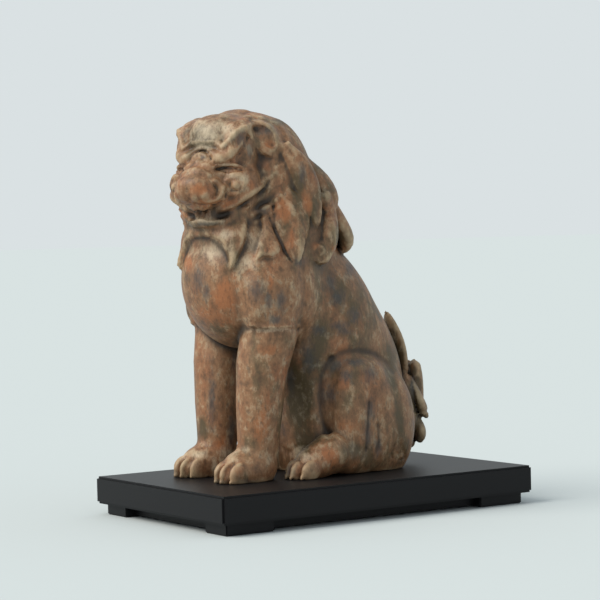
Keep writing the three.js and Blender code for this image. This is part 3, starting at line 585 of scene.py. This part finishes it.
def shapeMouth(clay):
    clay.rope(head, [(190, 206), (197, 206), (206, 207.4), (214, 208.8), (222, 208.8), (230, 206),
                     (238, 201.5), (246, 196.5), (254, 191.5), (261, 186), (265, 180.5)],
              (0.7, 1.0, 1.1, 1.0, 0.9, 0.7), -0.1, 0.6)
    clay.rope(head, [(195, 213), (201, 213), (208, 214), (216, 215), (224, 214.3), (231, 211), (237, 207.5)],
              (0.5, 0.8, 0.9, 0.9, 0.4), 0.35, 0.3, cut=True)
    clay.rope(head, [(202, 216), (210, 217), (219, 216.5), (227, 213.5)], (0.7, 0.9, 0.8, 0.5), 0.2, 0.3,
              cut=True)
    for tooth in ((203.5, 214), (209, 214.8)):
        clay.bead(head, tooth, (0.62, 0.62, 1.0), -0.1, 0.12)
    clay.draw(head, [
        ("line", [(236, 208), (244, 203.5), (252, 198), (259, 192.5), (265, 186.5), (269, 180)], 1.5, -0.22),
        ("line", [(222, 222.5), (230, 219.5), (238, 214), (248, 207.5)], 2.2, 0.25),
    ])


def drawFolds(clay):
    clay.draw(head, [
        ("line", [(246, 208), (254, 203), (262, 197.5), (269, 190.5), (273, 183)], 2.1, 0.3),
        ("line", [(250, 211), (259, 206.5), (267, 201.5), (275, 194)], 1.4, -0.1),
        ("line", [(250, 215), (259, 211), (267, 206), (275, 200.5), (281, 194)], 2.0, 0.35),
        ("line", [(254, 219), (263, 214.5), (271, 209.5), (279, 203)], 1.3, -0.1),
        ("line", [(256, 222), (265, 217.5), (273, 212), (281, 205)], 1.8, 0.25),
        ("line", [(268, 192.5), (274, 187.5), (281, 183)], 1.7, 0.3),
        ("line", [(264, 170), (269, 163), (276, 160)], 1.8, 0.3),
        ("line", [(271, 178), (276, 170), (283, 165)], 1.8, 0.3),
        ("line", [(252, 166), (257, 171), (258, 178), (254, 185)], 2.2, 0.2),
    ])


def drawBody(clay):
    clay.draw(body, [
        ("line", [(248, 325.5), (262, 327), (280, 327), (299, 326)], 1.3, 0.3),
        ("line", [(248, 329), (262, 330.5), (280, 330.5), (298, 329.5)], 1.8, -0.15),
        ("line", [(299.5, 324), (300, 334), (298.5, 346)], 1.1, 0.25),
        ("line", [(270, 262), (272, 282), (271, 304), (262, 322)], 5.0, -0.2),
        ("line", [(303, 268), (304, 290), (301, 312), (300, 326)], 5.0, -0.4),
        ("line", [(231, 274), (236, 300), (243, 326)], 7.0, -0.4),
        ("line", [(331, 358), (322, 374), (319, 395), (322, 420), (330, 438)], 3.5, -0.45),
        ("line", [(331, 358), (346, 351), (364, 351), (382, 358), (393, 373)], 3.5, -0.3),
        ("line", [(369, 402), (368, 420), (366, 450)], 2.0, -0.45),
        ("line", [(378, 424), (379, 440), (376, 456)], 1.6, -0.3),
        ("line", [(398.5, 441), (404.5, 458.5), (391, 456), (398.5, 441)], 0.9, -0.3),
        ("line", [(398, 447), (400.5, 454.5), (395.5, 453.5)], 0.8, -0.25),
        ("line", [(289, 452), (297, 447), (305, 445)], 1.5, -0.2),
        ("line", [(408, 372), (413, 390), (416, 408)], 1.2, -0.4),
        ("line", [(411, 412), (419, 411), (428, 411)], 1.2, -0.4),
    ], reach=9)


# Worn paint and stain, with painted shade and painted highlights among them: middle and half sizes of each
# blotch on the sheet
blotches = {
    # slate-blue paint patches on chest, shoulder and flank, and painted shade in the eye slit, the mouth,
    # under the jaw, between the legs and under the paws
    "inkAndShade": [
        (198, 280, 7, 15), (206, 292, 4, 8), (257, 291, 8, 13), (268, 300, 4, 9), (281, 300, 6, 12),
        (276, 320, 8, 5), (331, 282, 6, 14), (338, 297, 9, 9), (354, 316, 8, 9), (340, 326, 12, 5),
        (318, 330, 8, 5), (334, 366, 12, 8), (354, 362, 14, 5), (370, 374, 8, 10), (346, 376, 9, 8),
        (331, 394, 6, 11), (371, 408, 5, 13), (368, 434, 4, 18), (378, 448, 4, 10), (241, 139, 6, 9),
        (266, 131, 11, 5), (249, 150, 3, 10), (234, 352, 3, 12), (290, 380, 5, 16), (173, 473, 6, 5),
        (220, 482, 8, 3), (248, 482, 10, 3), (289, 472, 6, 6), (212, 400, 4, 30), (302, 175, 4, 12),
        (413, 385, 3, 14), (418, 440, 5, 8), (345, 332, 8, 4), (222, 214, 14, 4), (205, 224, 14, 2),
        (309, 358, 8, 16), (229, 168.6, 9, 1.1), (203, 157, 2.5, 2.5), (300, 262, 8, 6), (322, 395, 4, 20),
        (232, 430, 4, 20), (262, 210, 8, 5), (350, 268, 6, 10)
    ],
    "clayRed": [
        (226, 292, 12, 18), (205, 315, 14, 8), (262, 430, 10, 26), (238, 470, 9, 7), (270, 145, 8, 7),
        (251, 184, 8, 7), (200, 190, 14, 8), (216, 203, 22, 5), (292, 240, 3, 12), (332, 456, 12, 7),
        (271, 282, 4, 9), (284, 210, 8, 14), (308, 205, 6, 14), (348, 425, 12, 16), (345, 385, 10, 9),
        (190, 214, 8, 4), (222, 445, 12, 8), (252, 262, 8, 12), (188, 262, 6, 12), (270, 350, 18, 8),
        (185, 350, 8, 20), (316, 245, 6, 6), (262, 165, 8, 8), (336, 250, 8, 5)
    ],
    # olive stain, and painted shade over the flank, belly and thigh on the side away from the lamp
    "mossAndShade": [
        (318, 350, 18, 26), (300, 395, 16, 40), (350, 300, 22, 30), (305, 440, 14, 14), (392, 360, 8, 30),
        (400, 420, 8, 26), (285, 340, 8, 14), (208, 135, 16, 12), (280, 122, 14, 5), (325, 195, 12, 16),
        (340, 235, 10, 12), (395, 335, 6, 22), (416, 395, 8, 24), (330, 330, 20, 14), (205, 425, 12, 18),
        (298, 185, 12, 26), (312, 210, 10, 20), (345, 300, 20, 30), (284, 225, 8, 20), (350, 450, 18, 14),
        (320, 165, 14, 14), (401, 348, 8, 30), (212, 223, 16, 4)
    ],
    # pale paint, such as the pale chest between the locks, and painted highlights on the brow's edge, the
    # lids, the cheekbone and the forehead
    "sandAndHighlight": [
        (229, 165, 11, 1.1), (229, 174.4, 9, 1.1), (206, 141.5, 10, 1.7), (224, 145, 3, 2.4),
        (229, 139.5, 3, 3), (234, 133, 3, 3), (240, 129, 4, 2), (191, 136, 1.8, 12), (208, 130, 20, 12),
        (214, 465, 3, 8), (182, 455, 5, 6), (212, 252, 14, 9), (252, 246, 7, 10), (212, 128, 24, 9),
        (205, 146, 16, 5), (247, 262, 8, 8), (232, 176, 9, 3), (243, 178, 5, 4), (300, 455, 12, 7),
        (228, 452, 9, 5), (200, 455, 10, 5), (268, 330, 24, 3), (226, 235, 8, 5), (208, 220, 16, 3)
    ],
}

# Skin above this height, in millimetres, is mirrored with the head. Paint starts where the skin faces the
# eye by this much (1 is straight on), and is there in full a little further on
paintView = {"headFrom": 64, "from": -0.05, "over": 0.2}


# How much of each paint lies on a point. What the eye doesn't see takes its paint from the mirrored side
def paintOn(points, normals):
    place = {True: head, False: body}
    high = points[:, 2] > paintView["headFrom"]
    turned, turnedNormals = points.copy(), normals.copy()
    for part in (True, False):
        rows = high == part
        q = place[part].inside(points[rows])
        turn = place[part].axes
        n = normals[rows] @ turn.T
        n[:, 0] *= np.sign(q[:, 0])
        q[:, 0] = np.abs(q[:, 0])
        turned[rows] = place[part].outside(q)
        turnedNormals[rows] = n @ turn
    seen, turnedSeen = [np.clip((n @ sightBack - paintView["from"]) / paintView["over"], 0, 1)
                        for n in (normals, turnedNormals)]
    turnedSeen = turnedSeen * (1 - seen)
    layers = {}
    for name, spots in blotches.items():
        amount = np.zeros(len(points))
        for p, share in ((points, seen), (turned, turnedSeen)):
            u, v = onSheet(p)[:2]
            best = np.zeros(len(points))
            for su, sv, ru, rv in spots:
                best = np.maximum(best, np.exp(-((u - su) / ru) ** 2 - ((v - sv) / rv) ** 2))
            amount += best * share
        layers[name] = amount
    return layers


# Samples that are solid only corner to corner are joined, so that the skin never meets itself along an edge
def joinCorners(clay):
    bridge = -0.1 * clay.cell
    found = True
    while found:
        found = False
        for axis in range(3):
            field = np.moveaxis(clay.field, axis, 0)
            a, b, c, d = field[:, :-1, :-1], field[:, 1:, :-1], field[:, :-1, 1:], field[:, 1:, 1:]
            for first, second, gap, other in ((a, d, b, c), (b, c, a, d)):
                pinched = (first < 0) & (second < 0) & (gap >= 0) & (other >= 0)
                gap[pinched] = bridge
                found = found or pinched.any()


# Skin of the clay as quads, one vertex in each cell that the surface crosses
def skinOf(clay):
    field, solid = clay.field, clay.field < 0
    nx, ny, nz = field.shape
    corners = [(i, j, k) for i in (0, 1) for j in (0, 1) for k in (0, 1)]
    count = np.zeros((nx - 1, ny - 1, nz - 1), np.int8)
    for i, j, k in corners:
        count += solid[i:nx - 1 + i, j:ny - 1 + j, k:nz - 1 + k]
    crossed = (count > 0) & (count < 8)
    cells = np.argwhere(crossed)
    number = np.full(crossed.shape, -1, np.int32)
    number[crossed] = np.arange(len(cells))
    values = {c: field[tuple((cells + c).T)].astype(float) for c in corners}
    total, hits = np.zeros((len(cells), 3)), np.zeros(len(cells))
    for start in corners:
        for axis in range(3):
            if start[axis]:
                continue
            end = tuple(1 if n == axis else start[n] for n in range(3))
            a, b = values[start], values[end]
            crosses = (a < 0) != (b < 0)
            point = np.tile(np.array(start, float), (len(cells), 1))
            point[:, axis] += np.where(crosses, a / np.where(crosses, a - b, 1), 0)
            total += point * crosses[:, None]
            hits += crosses
    points = clay.low + (total / hits[:, None] + cells) * clay.cell
    quads = []
    for axis in range(3):
        first = [slice(1, -1)] * 3
        first[axis] = slice(0, -1)
        second = list(first)
        second[axis] = slice(1, None)
        a, b = solid[tuple(first)], solid[tuple(second)]
        edges = np.argwhere(a != b)
        leaves = a[tuple(edges.T)]
        at = edges + np.array([0 if n == axis else 1 for n in range(3)])
        u, v = (axis + 1) % 3, (axis + 2) % 3
        ring = []
        for du, dv in ((1, 1), (0, 1), (0, 0), (1, 0)):
            cell = at.copy()
            cell[:, u] -= du
            cell[:, v] -= dv
            ring.append(number[cell[:, 0], cell[:, 1], cell[:, 2]])
        faces = np.stack(ring, 1)
        faces[~leaves] = faces[~leaves][:, ::-1]
        quads.append(faces)
    return points, np.concatenate(quads)


# The field near the skin softened over some millimetres, which tells ridges (above 0) from hollows. A pass
# spreads it by 0.7 of a cell, and the spreads add up as squares
def softened(clay, width):
    passes = int(round(2 * (width / clay.cell) ** 2))
    field = np.clip(clay.field, -relief["skin"], relief["skin"])
    for _ in range(passes):
        for axis in range(3):
            inner = [slice(None)] * 3
            before, after = list(inner), list(inner)
            inner[axis], before[axis], after[axis] = slice(1, -1), slice(0, -2), slice(2, None)
            field[tuple(inner)] = (field[tuple(before)] + 2 * field[tuple(inner)] + field[tuple(after)]) / 4
    return field


def carveLion():
    clay = Clay(lion["low"], lion["high"], lion["cell"])
    for shape in (shapeTorso, shapeForelegs, shapeHaunches, shapeTail, shapeMane, shapeRuff, shapeSkull,
                  shapeBrow, shapeEars, shapeEyes, shapeNose, shapeMouth, drawFolds, drawBody):
        shape(clay)
    clay.field = np.maximum(clay.field, lion["standOn"] - clay.axes[2][None, None, :])
    joinCorners(clay)
    return clay


def meshObject(name, points, faces):
    mesh = bpy.data.meshes.new(name)
    mesh.from_pydata((np.asarray(points) * mm).tolist(), [], np.asarray(faces).tolist())
    mesh.update()
    piece = bpy.data.objects.new(name, mesh)
    bpy.context.collection.objects.link(piece)
    return piece


def addAttribute(mesh, name, values):
    attribute = mesh.attributes.new(name, "FLOAT", "POINT")
    attribute.data.foreach_set("value", np.asarray(values, np.float32))


def makeLion():
    clay = carveLion()
    points, quads = skinOf(clay)
    piece = meshObject("lionCarving", points, quads)
    piece.data.shade_smooth()
    # ridge and swell guide the wood's painted shade in the hollows and its painted highlights on the ridges
    for name in ("ridge", "swell"):
        width, height = lion[name]
        rise = clay.value(points, softened(clay, width)) - clay.value(points)
        addAttribute(piece.data, name, np.clip(rise / height, -1, 1))
    for name, amount in paintOn(points, clay.slope(points)).items():
        addAttribute(piece.data, name, amount)
    triangles = 2 * len(quads)
    if triangles > lion["mostTriangles"]:
        thinner = piece.modifiers.new("thinner", "DECIMATE")
        thinner.ratio = lion["mostTriangles"] / triangles
        bpy.context.view_layer.objects.active = piece
        bpy.ops.object.modifier_apply(modifier="thinner")
    print("lion carved:", len(piece.data.polygons), "faces")
    return piece


# An sRGB hex colour as the linear values that a shader takes
def linear(hexColour):
    values = [int(hexColour[i:i + 2], 16) / 255 for i in (1, 3, 5)]
    return tuple(v / 12.92 if v <= 0.04045 else ((v + 0.055) / 1.055) ** 2.4 for v in values) + (1.0,)


# Adds a node: settings are its options or its unlinked inputs, links are inputs and what feeds them
def addNode(tree, kind, settings=None, links=None):
    node = tree.nodes.new(kind)
    for name, value in (settings or {}).items():
        if isinstance(name, str) and hasattr(node, name):
            setattr(node, name, value)
        else:
            node.inputs[name].default_value = value
    for name, source in (links or {}).items():
        tree.links.new(source, node.inputs[name])
    return node


def newMaterial(name):
    material = bpy.data.materials.new(name)
    material.use_nodes = True
    return material, material.node_tree.nodes["Principled BSDF"]


# Carved boxwood, stained and waxed: a warm satin brown that drifts to terracotta, olive and tan, with old
# slate-blue colour left in ragged patches, slate-blue and near-black painted shade in the cuts, crevices and
# hollows, and pale wood rubbed through on the ridges, partly painted highlight
woodLook = {
    "brown": "#866144",
    "umber": "#4c3826",
    "rust": "#8c5a3a",
    "olive": "#63523a",
    "tan": "#a68864",
    "clayRed": "#a1653d",
    # the next five colours also paint light: olive, slate-blue and near-black painted shade, and pale painted
    # highlights
    "mossAndShade": "#4a4029",
    "inkAndShade": "#383b3f",
    "sandAndHighlight": "#c2b197",
    "creaseShade": "#241c16",
    "worn": "#b39c7c",
    # size of a spot in millimetres, shift, upright stretch, detail and roughness. The wood's own pores are
    # too fine to show, so the streaks are drawn 0.6 mm wide, as coarse as the cuts and the brush drag
    "patterns": {
        "cloud": (8.3, 0.0, 0.6, 6.0, 0.68),
        "drift": (6.7, 0.37, 0.5, 6.0, 0.68),
        "mottle": (2.4, 0.11, 0.75, 6.0, 0.68),
        "streak": (0.62, 0.0, 0.42, 4.0, 0.65),
    },
    # paint left on the wood, some of it painted shade and painted highlight, the pattern that its edge breaks
    # up along, and how much a blotch adds to it
    "paints": {"mossAndShade": "drift", "clayRed": "cloud", "sandAndHighlight": "mottle", "inkAndShade": "ragged"},
    "paintShare": 0.3,
    # share of streak in the ragged pattern, and how far mottle breaks up the rubbed wear and painted
    # highlight on the ridges
    "ragged": 0.45,
    "rubbedAndHighlight": 1.6,
    # coats from the wood outwards: colour, what it follows, from where, full at, most
    "coats": [
        ("rust", "cloud", 0.47, 0.62, 0.75),
        ("olive", "drift", 0.5, 0.62, 0.75),
        ("tan", "mottle", 0.48, 0.72, 0.6),
        ("umber", "mottle", 0.48, 0.34, 0.7),
        # olive stain and painted shade
        ("mossAndShade", "mossAndShade", 0.57, 0.76, 0.85),
        ("clayRed", "clayRed", 0.6, 0.78, 0.75),
        # pale paint and painted highlights
        ("sandAndHighlight", "sandAndHighlight", 0.53, 0.84, 0.7),
        # slate-blue paint and painted shade
        ("inkAndShade", "inkAndShade", 0.55, 0.8, 0.72),
        ("umber", "streak", 0.52, 0.66, 0.45),
        # painted shade: umber darkens the broad hollows, under the mane and between the legs and the belly
        ("umber", "swell", -0.03, -0.6, 0.75),
        # painted shade: near-black laid into the crevices and cuts, where the ridge measure falls below 0
        ("creaseShade", "ridge", -0.2, -0.85, 0.88),
        # rubbed wear and painted highlight: pale wood on the ridges
        ("worn", "rubbedAndHighlight", 1.15, 1.9, 0.6),
    ],
    # depth of blade marks and of wear, in millimetres, and how firmly both show
    "toolMarks": 0.12,
    "wear": 0.4,
    "relief": 0.5,
    # waxed wood: roughness at the low and the high end of the mottle, and a weak reflection
    "mottleEnds": (0.3, 0.7),
    "roughness": (0.4, 0.62),
    "specular": 0.4,
}


def makeWood():
    look = woodLook
    material, shader = newMaterial("stainedBoxwood")
    tree = material.node_tree
    place = addNode(tree, "ShaderNodeTexCoord").outputs["Object"]
    values = {}
    # patterns are stretched upright, because brush and blade ran down the figure. The coordinates are
    # metres, so a spot of so many millimetres is a scale of 1 / (size * mm)
    for name, (size, shift, stretch, detail, rough) in look["patterns"].items():
        laid = addNode(tree, "ShaderNodeMapping",
                       {"Scale": (1.0, 1.0, stretch), "Location": (shift, shift, 0.0)}, {"Vector": place})
        noise = addNode(tree, "ShaderNodeTexNoise",
                        {"Scale": 1.0 / (size * mm), "Detail": detail, "Roughness": rough},
                        {"Vector": laid.outputs[0]})
        values[name] = noise.outputs[0]
    ragged = addNode(tree, "ShaderNodeMix", {"data_type": "FLOAT", 0: look["ragged"]},
                     {2: values["mottle"], 3: values["streak"]})
    values["ragged"] = ragged.outputs[0]
    for name in ("ridge", "swell", *look["paints"]):
        values[name] = addNode(tree, "ShaderNodeAttribute", {"attribute_name": name}).outputs["Fac"]
    for name, breakup in look["paints"].items():
        laid = addNode(tree, "ShaderNodeMath", {"operation": "MULTIPLY_ADD", 1: look["paintShare"]},
                       {0: values[name], 2: values[breakup]})
        values[name] = laid.outputs[0]
    # pale ridges are partly rubbed wear and partly painted highlight
    rubbedAndHighlight = addNode(tree, "ShaderNodeMath", {"operation": "MULTIPLY_ADD", 1: look["rubbedAndHighlight"]},
                     {0: values["mottle"], 2: values["ridge"]})
    values["rubbedAndHighlight"] = rubbedAndHighlight.outputs[0]
    colour = None
    for coat, follows, low, high, most in look["coats"]:
        amount = addNode(tree, "ShaderNodeMapRange", {"From Min": low, "From Max": high, "To Max": most},
                         {"Value": values[follows]})
        coated = addNode(tree, "ShaderNodeMix",
                         {"data_type": "RGBA", 6: linear(look["brown"]), 7: linear(look[coat])},
                         {0: amount.outputs[0]})
        if colour:
            tree.links.new(colour, coated.inputs[6])
        colour = coated.outputs[2]
    tree.links.new(colour, shader.inputs["Base Color"])
    tool = addNode(tree, "ShaderNodeBump", {"Strength": look["relief"], "Distance": look["toolMarks"] * mm},
                   {"Height": values["streak"]})
    worn = addNode(tree, "ShaderNodeBump", {"Strength": look["relief"], "Distance": look["wear"] * mm},
                   {"Height": values["mottle"], "Normal": tool.outputs[0]})
    tree.links.new(worn.outputs[0], shader.inputs["Normal"])
    low, high = look["mottleEnds"]
    smooth, rough = look["roughness"]
    gloss = addNode(tree, "ShaderNodeMapRange",
                    {"From Min": low, "From Max": high, "To Min": smooth, "To Max": rough},
                    {"Value": values["mottle"]})
    tree.links.new(gloss.outputs[0], shader.inputs["Roughness"])
    shader.inputs["Specular IOR Level"].default_value = look["specular"]
    return material


# Black lacquer on wood, rubbed satin: a soft grey sheen with faint brush drag. The drag is drawn 1.1 mm
# wide, coarser than a real brush leaves it, so that it shows. Its depth is in millimetres
lacquerLook = {
    "black": "#141416",
    "roughness": 0.44,
    "specular": 0.18,
    "dragWide": 1.111,
    "dragDeep": 0.05,
    "drag": 0.15,
}


def makeLacquer():
    look = lacquerLook
    material, shader = newMaterial("blackLacquer")
    tree = material.node_tree
    place = addNode(tree, "ShaderNodeTexCoord").outputs["Object"]
    drag = addNode(tree, "ShaderNodeTexNoise", {"Scale": 1.0 / (look["dragWide"] * mm), "Detail": 3.0},
                   {"Vector": place})
    bump = addNode(tree, "ShaderNodeBump", {"Strength": look["drag"], "Distance": look["dragDeep"] * mm},
                   {"Height": drag.outputs[0]})
    tree.links.new(bump.outputs[0], shader.inputs["Normal"])
    shader.inputs["Base Color"].default_value = linear(look["black"])
    shader.inputs["Specular IOR Level"].default_value = look["specular"]
    shader.inputs["Roughness"].default_value = look["roughness"]
    return material


# The plinth, in millimetres. The feet and the skirt run on into the slab by the sunk height
plinth = {
    "width": 54.0,
    "depth": 83.0,
    "slab": 6.1,
    "foot": 2.5,
    "sunk": 0.3,
    "edge": 0.5,
    "footEdge": 0.25,
    "inset": 1.8,
    "footLong": 12.0,
    "footShort": 8.5,
    "footThick": 6.0,
    "skirtInset": 4.2,
    "skirtThick": 3.0,
    "skirtLift": 0.4,
}


def addBox(mesh, x0, y0, z0, x1, y1, z1):
    middle = Matrix.Translation(((x0 + x1) / 2, (y0 + y1) / 2, (z0 + z1) / 2))
    size = Matrix.Diagonal((x1 - x0, y1 - y0, z1 - z0, 1))
    bmesh.ops.create_cube(mesh, size=1, matrix=middle @ size)


def objectFrom(name, mesh):
    bmesh.ops.scale(mesh, vec=(mm, mm, mm), verts=mesh.verts)
    bmesh.ops.recalc_face_normals(mesh, faces=mesh.faces)
    data = bpy.data.meshes.new(name)
    mesh.to_mesh(data)
    mesh.free()
    piece = bpy.data.objects.new(name, data)
    bpy.context.collection.objects.link(piece)
    return piece


# One corner foot, an L that opens inwards from its outer corner at the origin
def makeFoot(material):
    size = plinth
    mesh = bmesh.new()
    short, thick, long = size["footShort"], size["footThick"], size["footLong"]
    outline = [(0, 0), (short, 0), (short, thick), (thick, thick), (thick, long), (0, long)]
    floorRing = [mesh.verts.new((-x, -y, 0)) for x, y in outline]
    face = mesh.faces.new(floorRing)
    top = bmesh.ops.extrude_face_region(mesh, geom=[face])["geom"]
    lifted = [v for v in top if isinstance(v, bmesh.types.BMVert)]
    bmesh.ops.translate(mesh, vec=(0, 0, size["foot"] + size["sunk"]), verts=lifted)
    bmesh.ops.bevel(mesh, geom=mesh.edges[:], offset=size["footEdge"], segments=2, affect="EDGES")
    foot = objectFrom("plinthFoot", mesh)
    foot.data.materials.append(material)
    return foot


# Feet at the four corners, each mirrored from the one foot
def feetTree(foot, material):
    tree = bpy.data.node_groups.new("fourFeet", "GeometryNodeTree")
    tree.interface.new_socket("Geometry", in_out="OUTPUT", socket_type="NodeSocketGeometry")
    reachX = tree.interface.new_socket("Feet reach across", in_out="INPUT", socket_type="NodeSocketFloat")
    reachY = tree.interface.new_socket("Feet reach along", in_out="INPUT", socket_type="NodeSocketFloat")
    given = addNode(tree, "NodeGroupInput")
    fetch = addNode(tree, "GeometryNodeObjectInfo", {"Object": foot})
    feet = addNode(tree, "GeometryNodeJoinGeometry")
    for sideX in (-1.0, 1.0):
        for sideY in (-1.0, 1.0):
            across, along = [addNode(tree, "ShaderNodeMath", {"operation": "MULTIPLY", 1: side}, {0: reach})
                             for side, reach in zip((sideX, sideY), given.outputs)]
            corner = addNode(tree, "ShaderNodeCombineXYZ", None,
                             {"X": across.outputs[0], "Y": along.outputs[0]})
            placed = addNode(tree, "GeometryNodeTransform", {"Scale": (sideX, sideY, 1.0)},
                             {"Geometry": fetch.outputs["Geometry"], "Translation": corner.outputs[0]})
            tree.links.new(placed.outputs[0], feet.inputs[0])
    solid = addNode(tree, "GeometryNodeRealizeInstances", None, {"Geometry": feet.outputs[0]})
    dressed = addNode(tree, "GeometryNodeSetMaterial", {"Material": material}, {"Geometry": solid.outputs[0]})
    addNode(tree, "NodeGroupOutput", None, {0: dressed.outputs[0]})
    return tree, reachX.identifier, reachY.identifier


def makePlinth(material):
    size = plinth
    halfX, halfY = size["width"] / 2, size["depth"] / 2
    foot = makeFoot(material)
    tree, acrossInput, alongInput = feetTree(foot, material)
    holder = bpy.data.objects.new("feetHolder", bpy.data.meshes.new("feetHolder"))
    bpy.context.collection.objects.link(holder)
    feet = holder.modifiers.new("fourFeet", "NODES")
    feet.node_group = tree
    feet[acrossInput] = (halfX - size["inset"]) * mm
    feet[alongInput] = (halfY - size["inset"]) * mm
    bpy.context.view_layer.update()
    graph = bpy.context.evaluated_depsgraph_get()
    feetMesh = bpy.data.meshes.new_from_object(holder.evaluated_get(graph))
    bpy.data.objects.remove(holder)
    bpy.data.objects.remove(foot)

    mesh = bmesh.new()
    addBox(mesh, -halfX, -halfY, size["foot"], halfX, halfY, size["foot"] + size["slab"])
    bmesh.ops.bevel(mesh, geom=mesh.edges[:], offset=size["edge"], segments=4, affect="EDGES")
    outX, outY = halfX - size["skirtInset"], halfY - size["skirtInset"]
    inX, inY = outX - size["skirtThick"], outY - size["skirtThick"]
    low, high = size["skirtLift"], size["foot"] + size["sunk"]
    addBox(mesh, -outX, -outY, low, outX, -inY, high)
    addBox(mesh, -outX, inY, low, outX, outY, high)
    addBox(mesh, -outX, -inY, low, -inX, inY, high)
    addBox(mesh, inX, -inY, low, outX, inY, high)
    bmesh.ops.scale(mesh, vec=(mm, mm, mm), verts=mesh.verts)
    mesh.from_mesh(feetMesh)
    bmesh.ops.recalc_face_normals(mesh, faces=mesh.faces)
    data = bpy.data.meshes.new("plinthLacquered")
    mesh.to_mesh(data)
    mesh.free()
    data.materials.clear()
    data.materials.append(material)
    for face in data.polygons:
        face.material_index = 0
    piece = bpy.data.objects.new("plinthLacquered", data)
    bpy.context.collection.objects.link(piece)
    bpy.data.meshes.remove(feetMesh)
    print("plinth built:", len(data.polygons), "faces")
    return piece


# Pale paper under a soft even sky, and one broad warm lamp from the upper left of the eye. The floor is half
# its side in millimetres, the lamp's place is across, towards the eye and up, and its spread is in degrees
studio = {
    "backdrop": "#dae1e3",
    "paper": "#c0c7c9",
    "floor": 8000,
    "sky": 1.0,
    "key": 2.8,
    "keyColour": "#fffaf0",
    "keyFrom": (-0.8, 0.36, 0.8),
    "keySpread": 38.0,
}


def makeStudio():
    mesh = bmesh.new()
    bmesh.ops.create_grid(mesh, x_segments=1, y_segments=1, size=studio["floor"])
    floor = objectFrom("studioFloor", mesh)
    material, shader = newMaterial("paperBackdrop")
    shader.inputs["Base Color"].default_value = linear(studio["paper"])
    shader.inputs["Roughness"].default_value = 1.0
    shader.inputs["Specular IOR Level"].default_value = 0.0
    floor.data.materials.append(material)
    world = bpy.data.worlds.new("studioSky")
    world.use_nodes = True
    background = world.node_tree.nodes["Background"]
    background.inputs[0].default_value = linear(studio["backdrop"])
    background.inputs[1].default_value = studio["sky"]
    bpy.context.scene.world = world
    bpy.context.scene.view_settings.view_transform = "Standard"
    lamp = bpy.data.lights.new("keySoftbox", "SUN")
    lamp.energy = studio["key"]
    lamp.angle = np.radians(studio["keySpread"])
    lamp.color = linear(studio["keyColour"])[:3]
    softbox = bpy.data.objects.new("keySoftbox", lamp)
    across, near, high = studio["keyFrom"]
    at = Vector(sightRight * across + sightBack * near + np.array([0, 0, high]))
    softbox.matrix_world = Matrix.Translation(at) @ at.to_track_quat("Z", "Y").to_matrix().to_4x4()
    bpy.context.collection.objects.link(softbox)
    print("studio lit")


lionPiece = makeLion()
lionPiece.data.materials.append(makeWood())
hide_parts("lion")
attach(lionPiece, "root")

plinthPiece = makePlinth(makeLacquer())
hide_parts("plinth")
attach(plinthPiece, "root")

makeStudio()
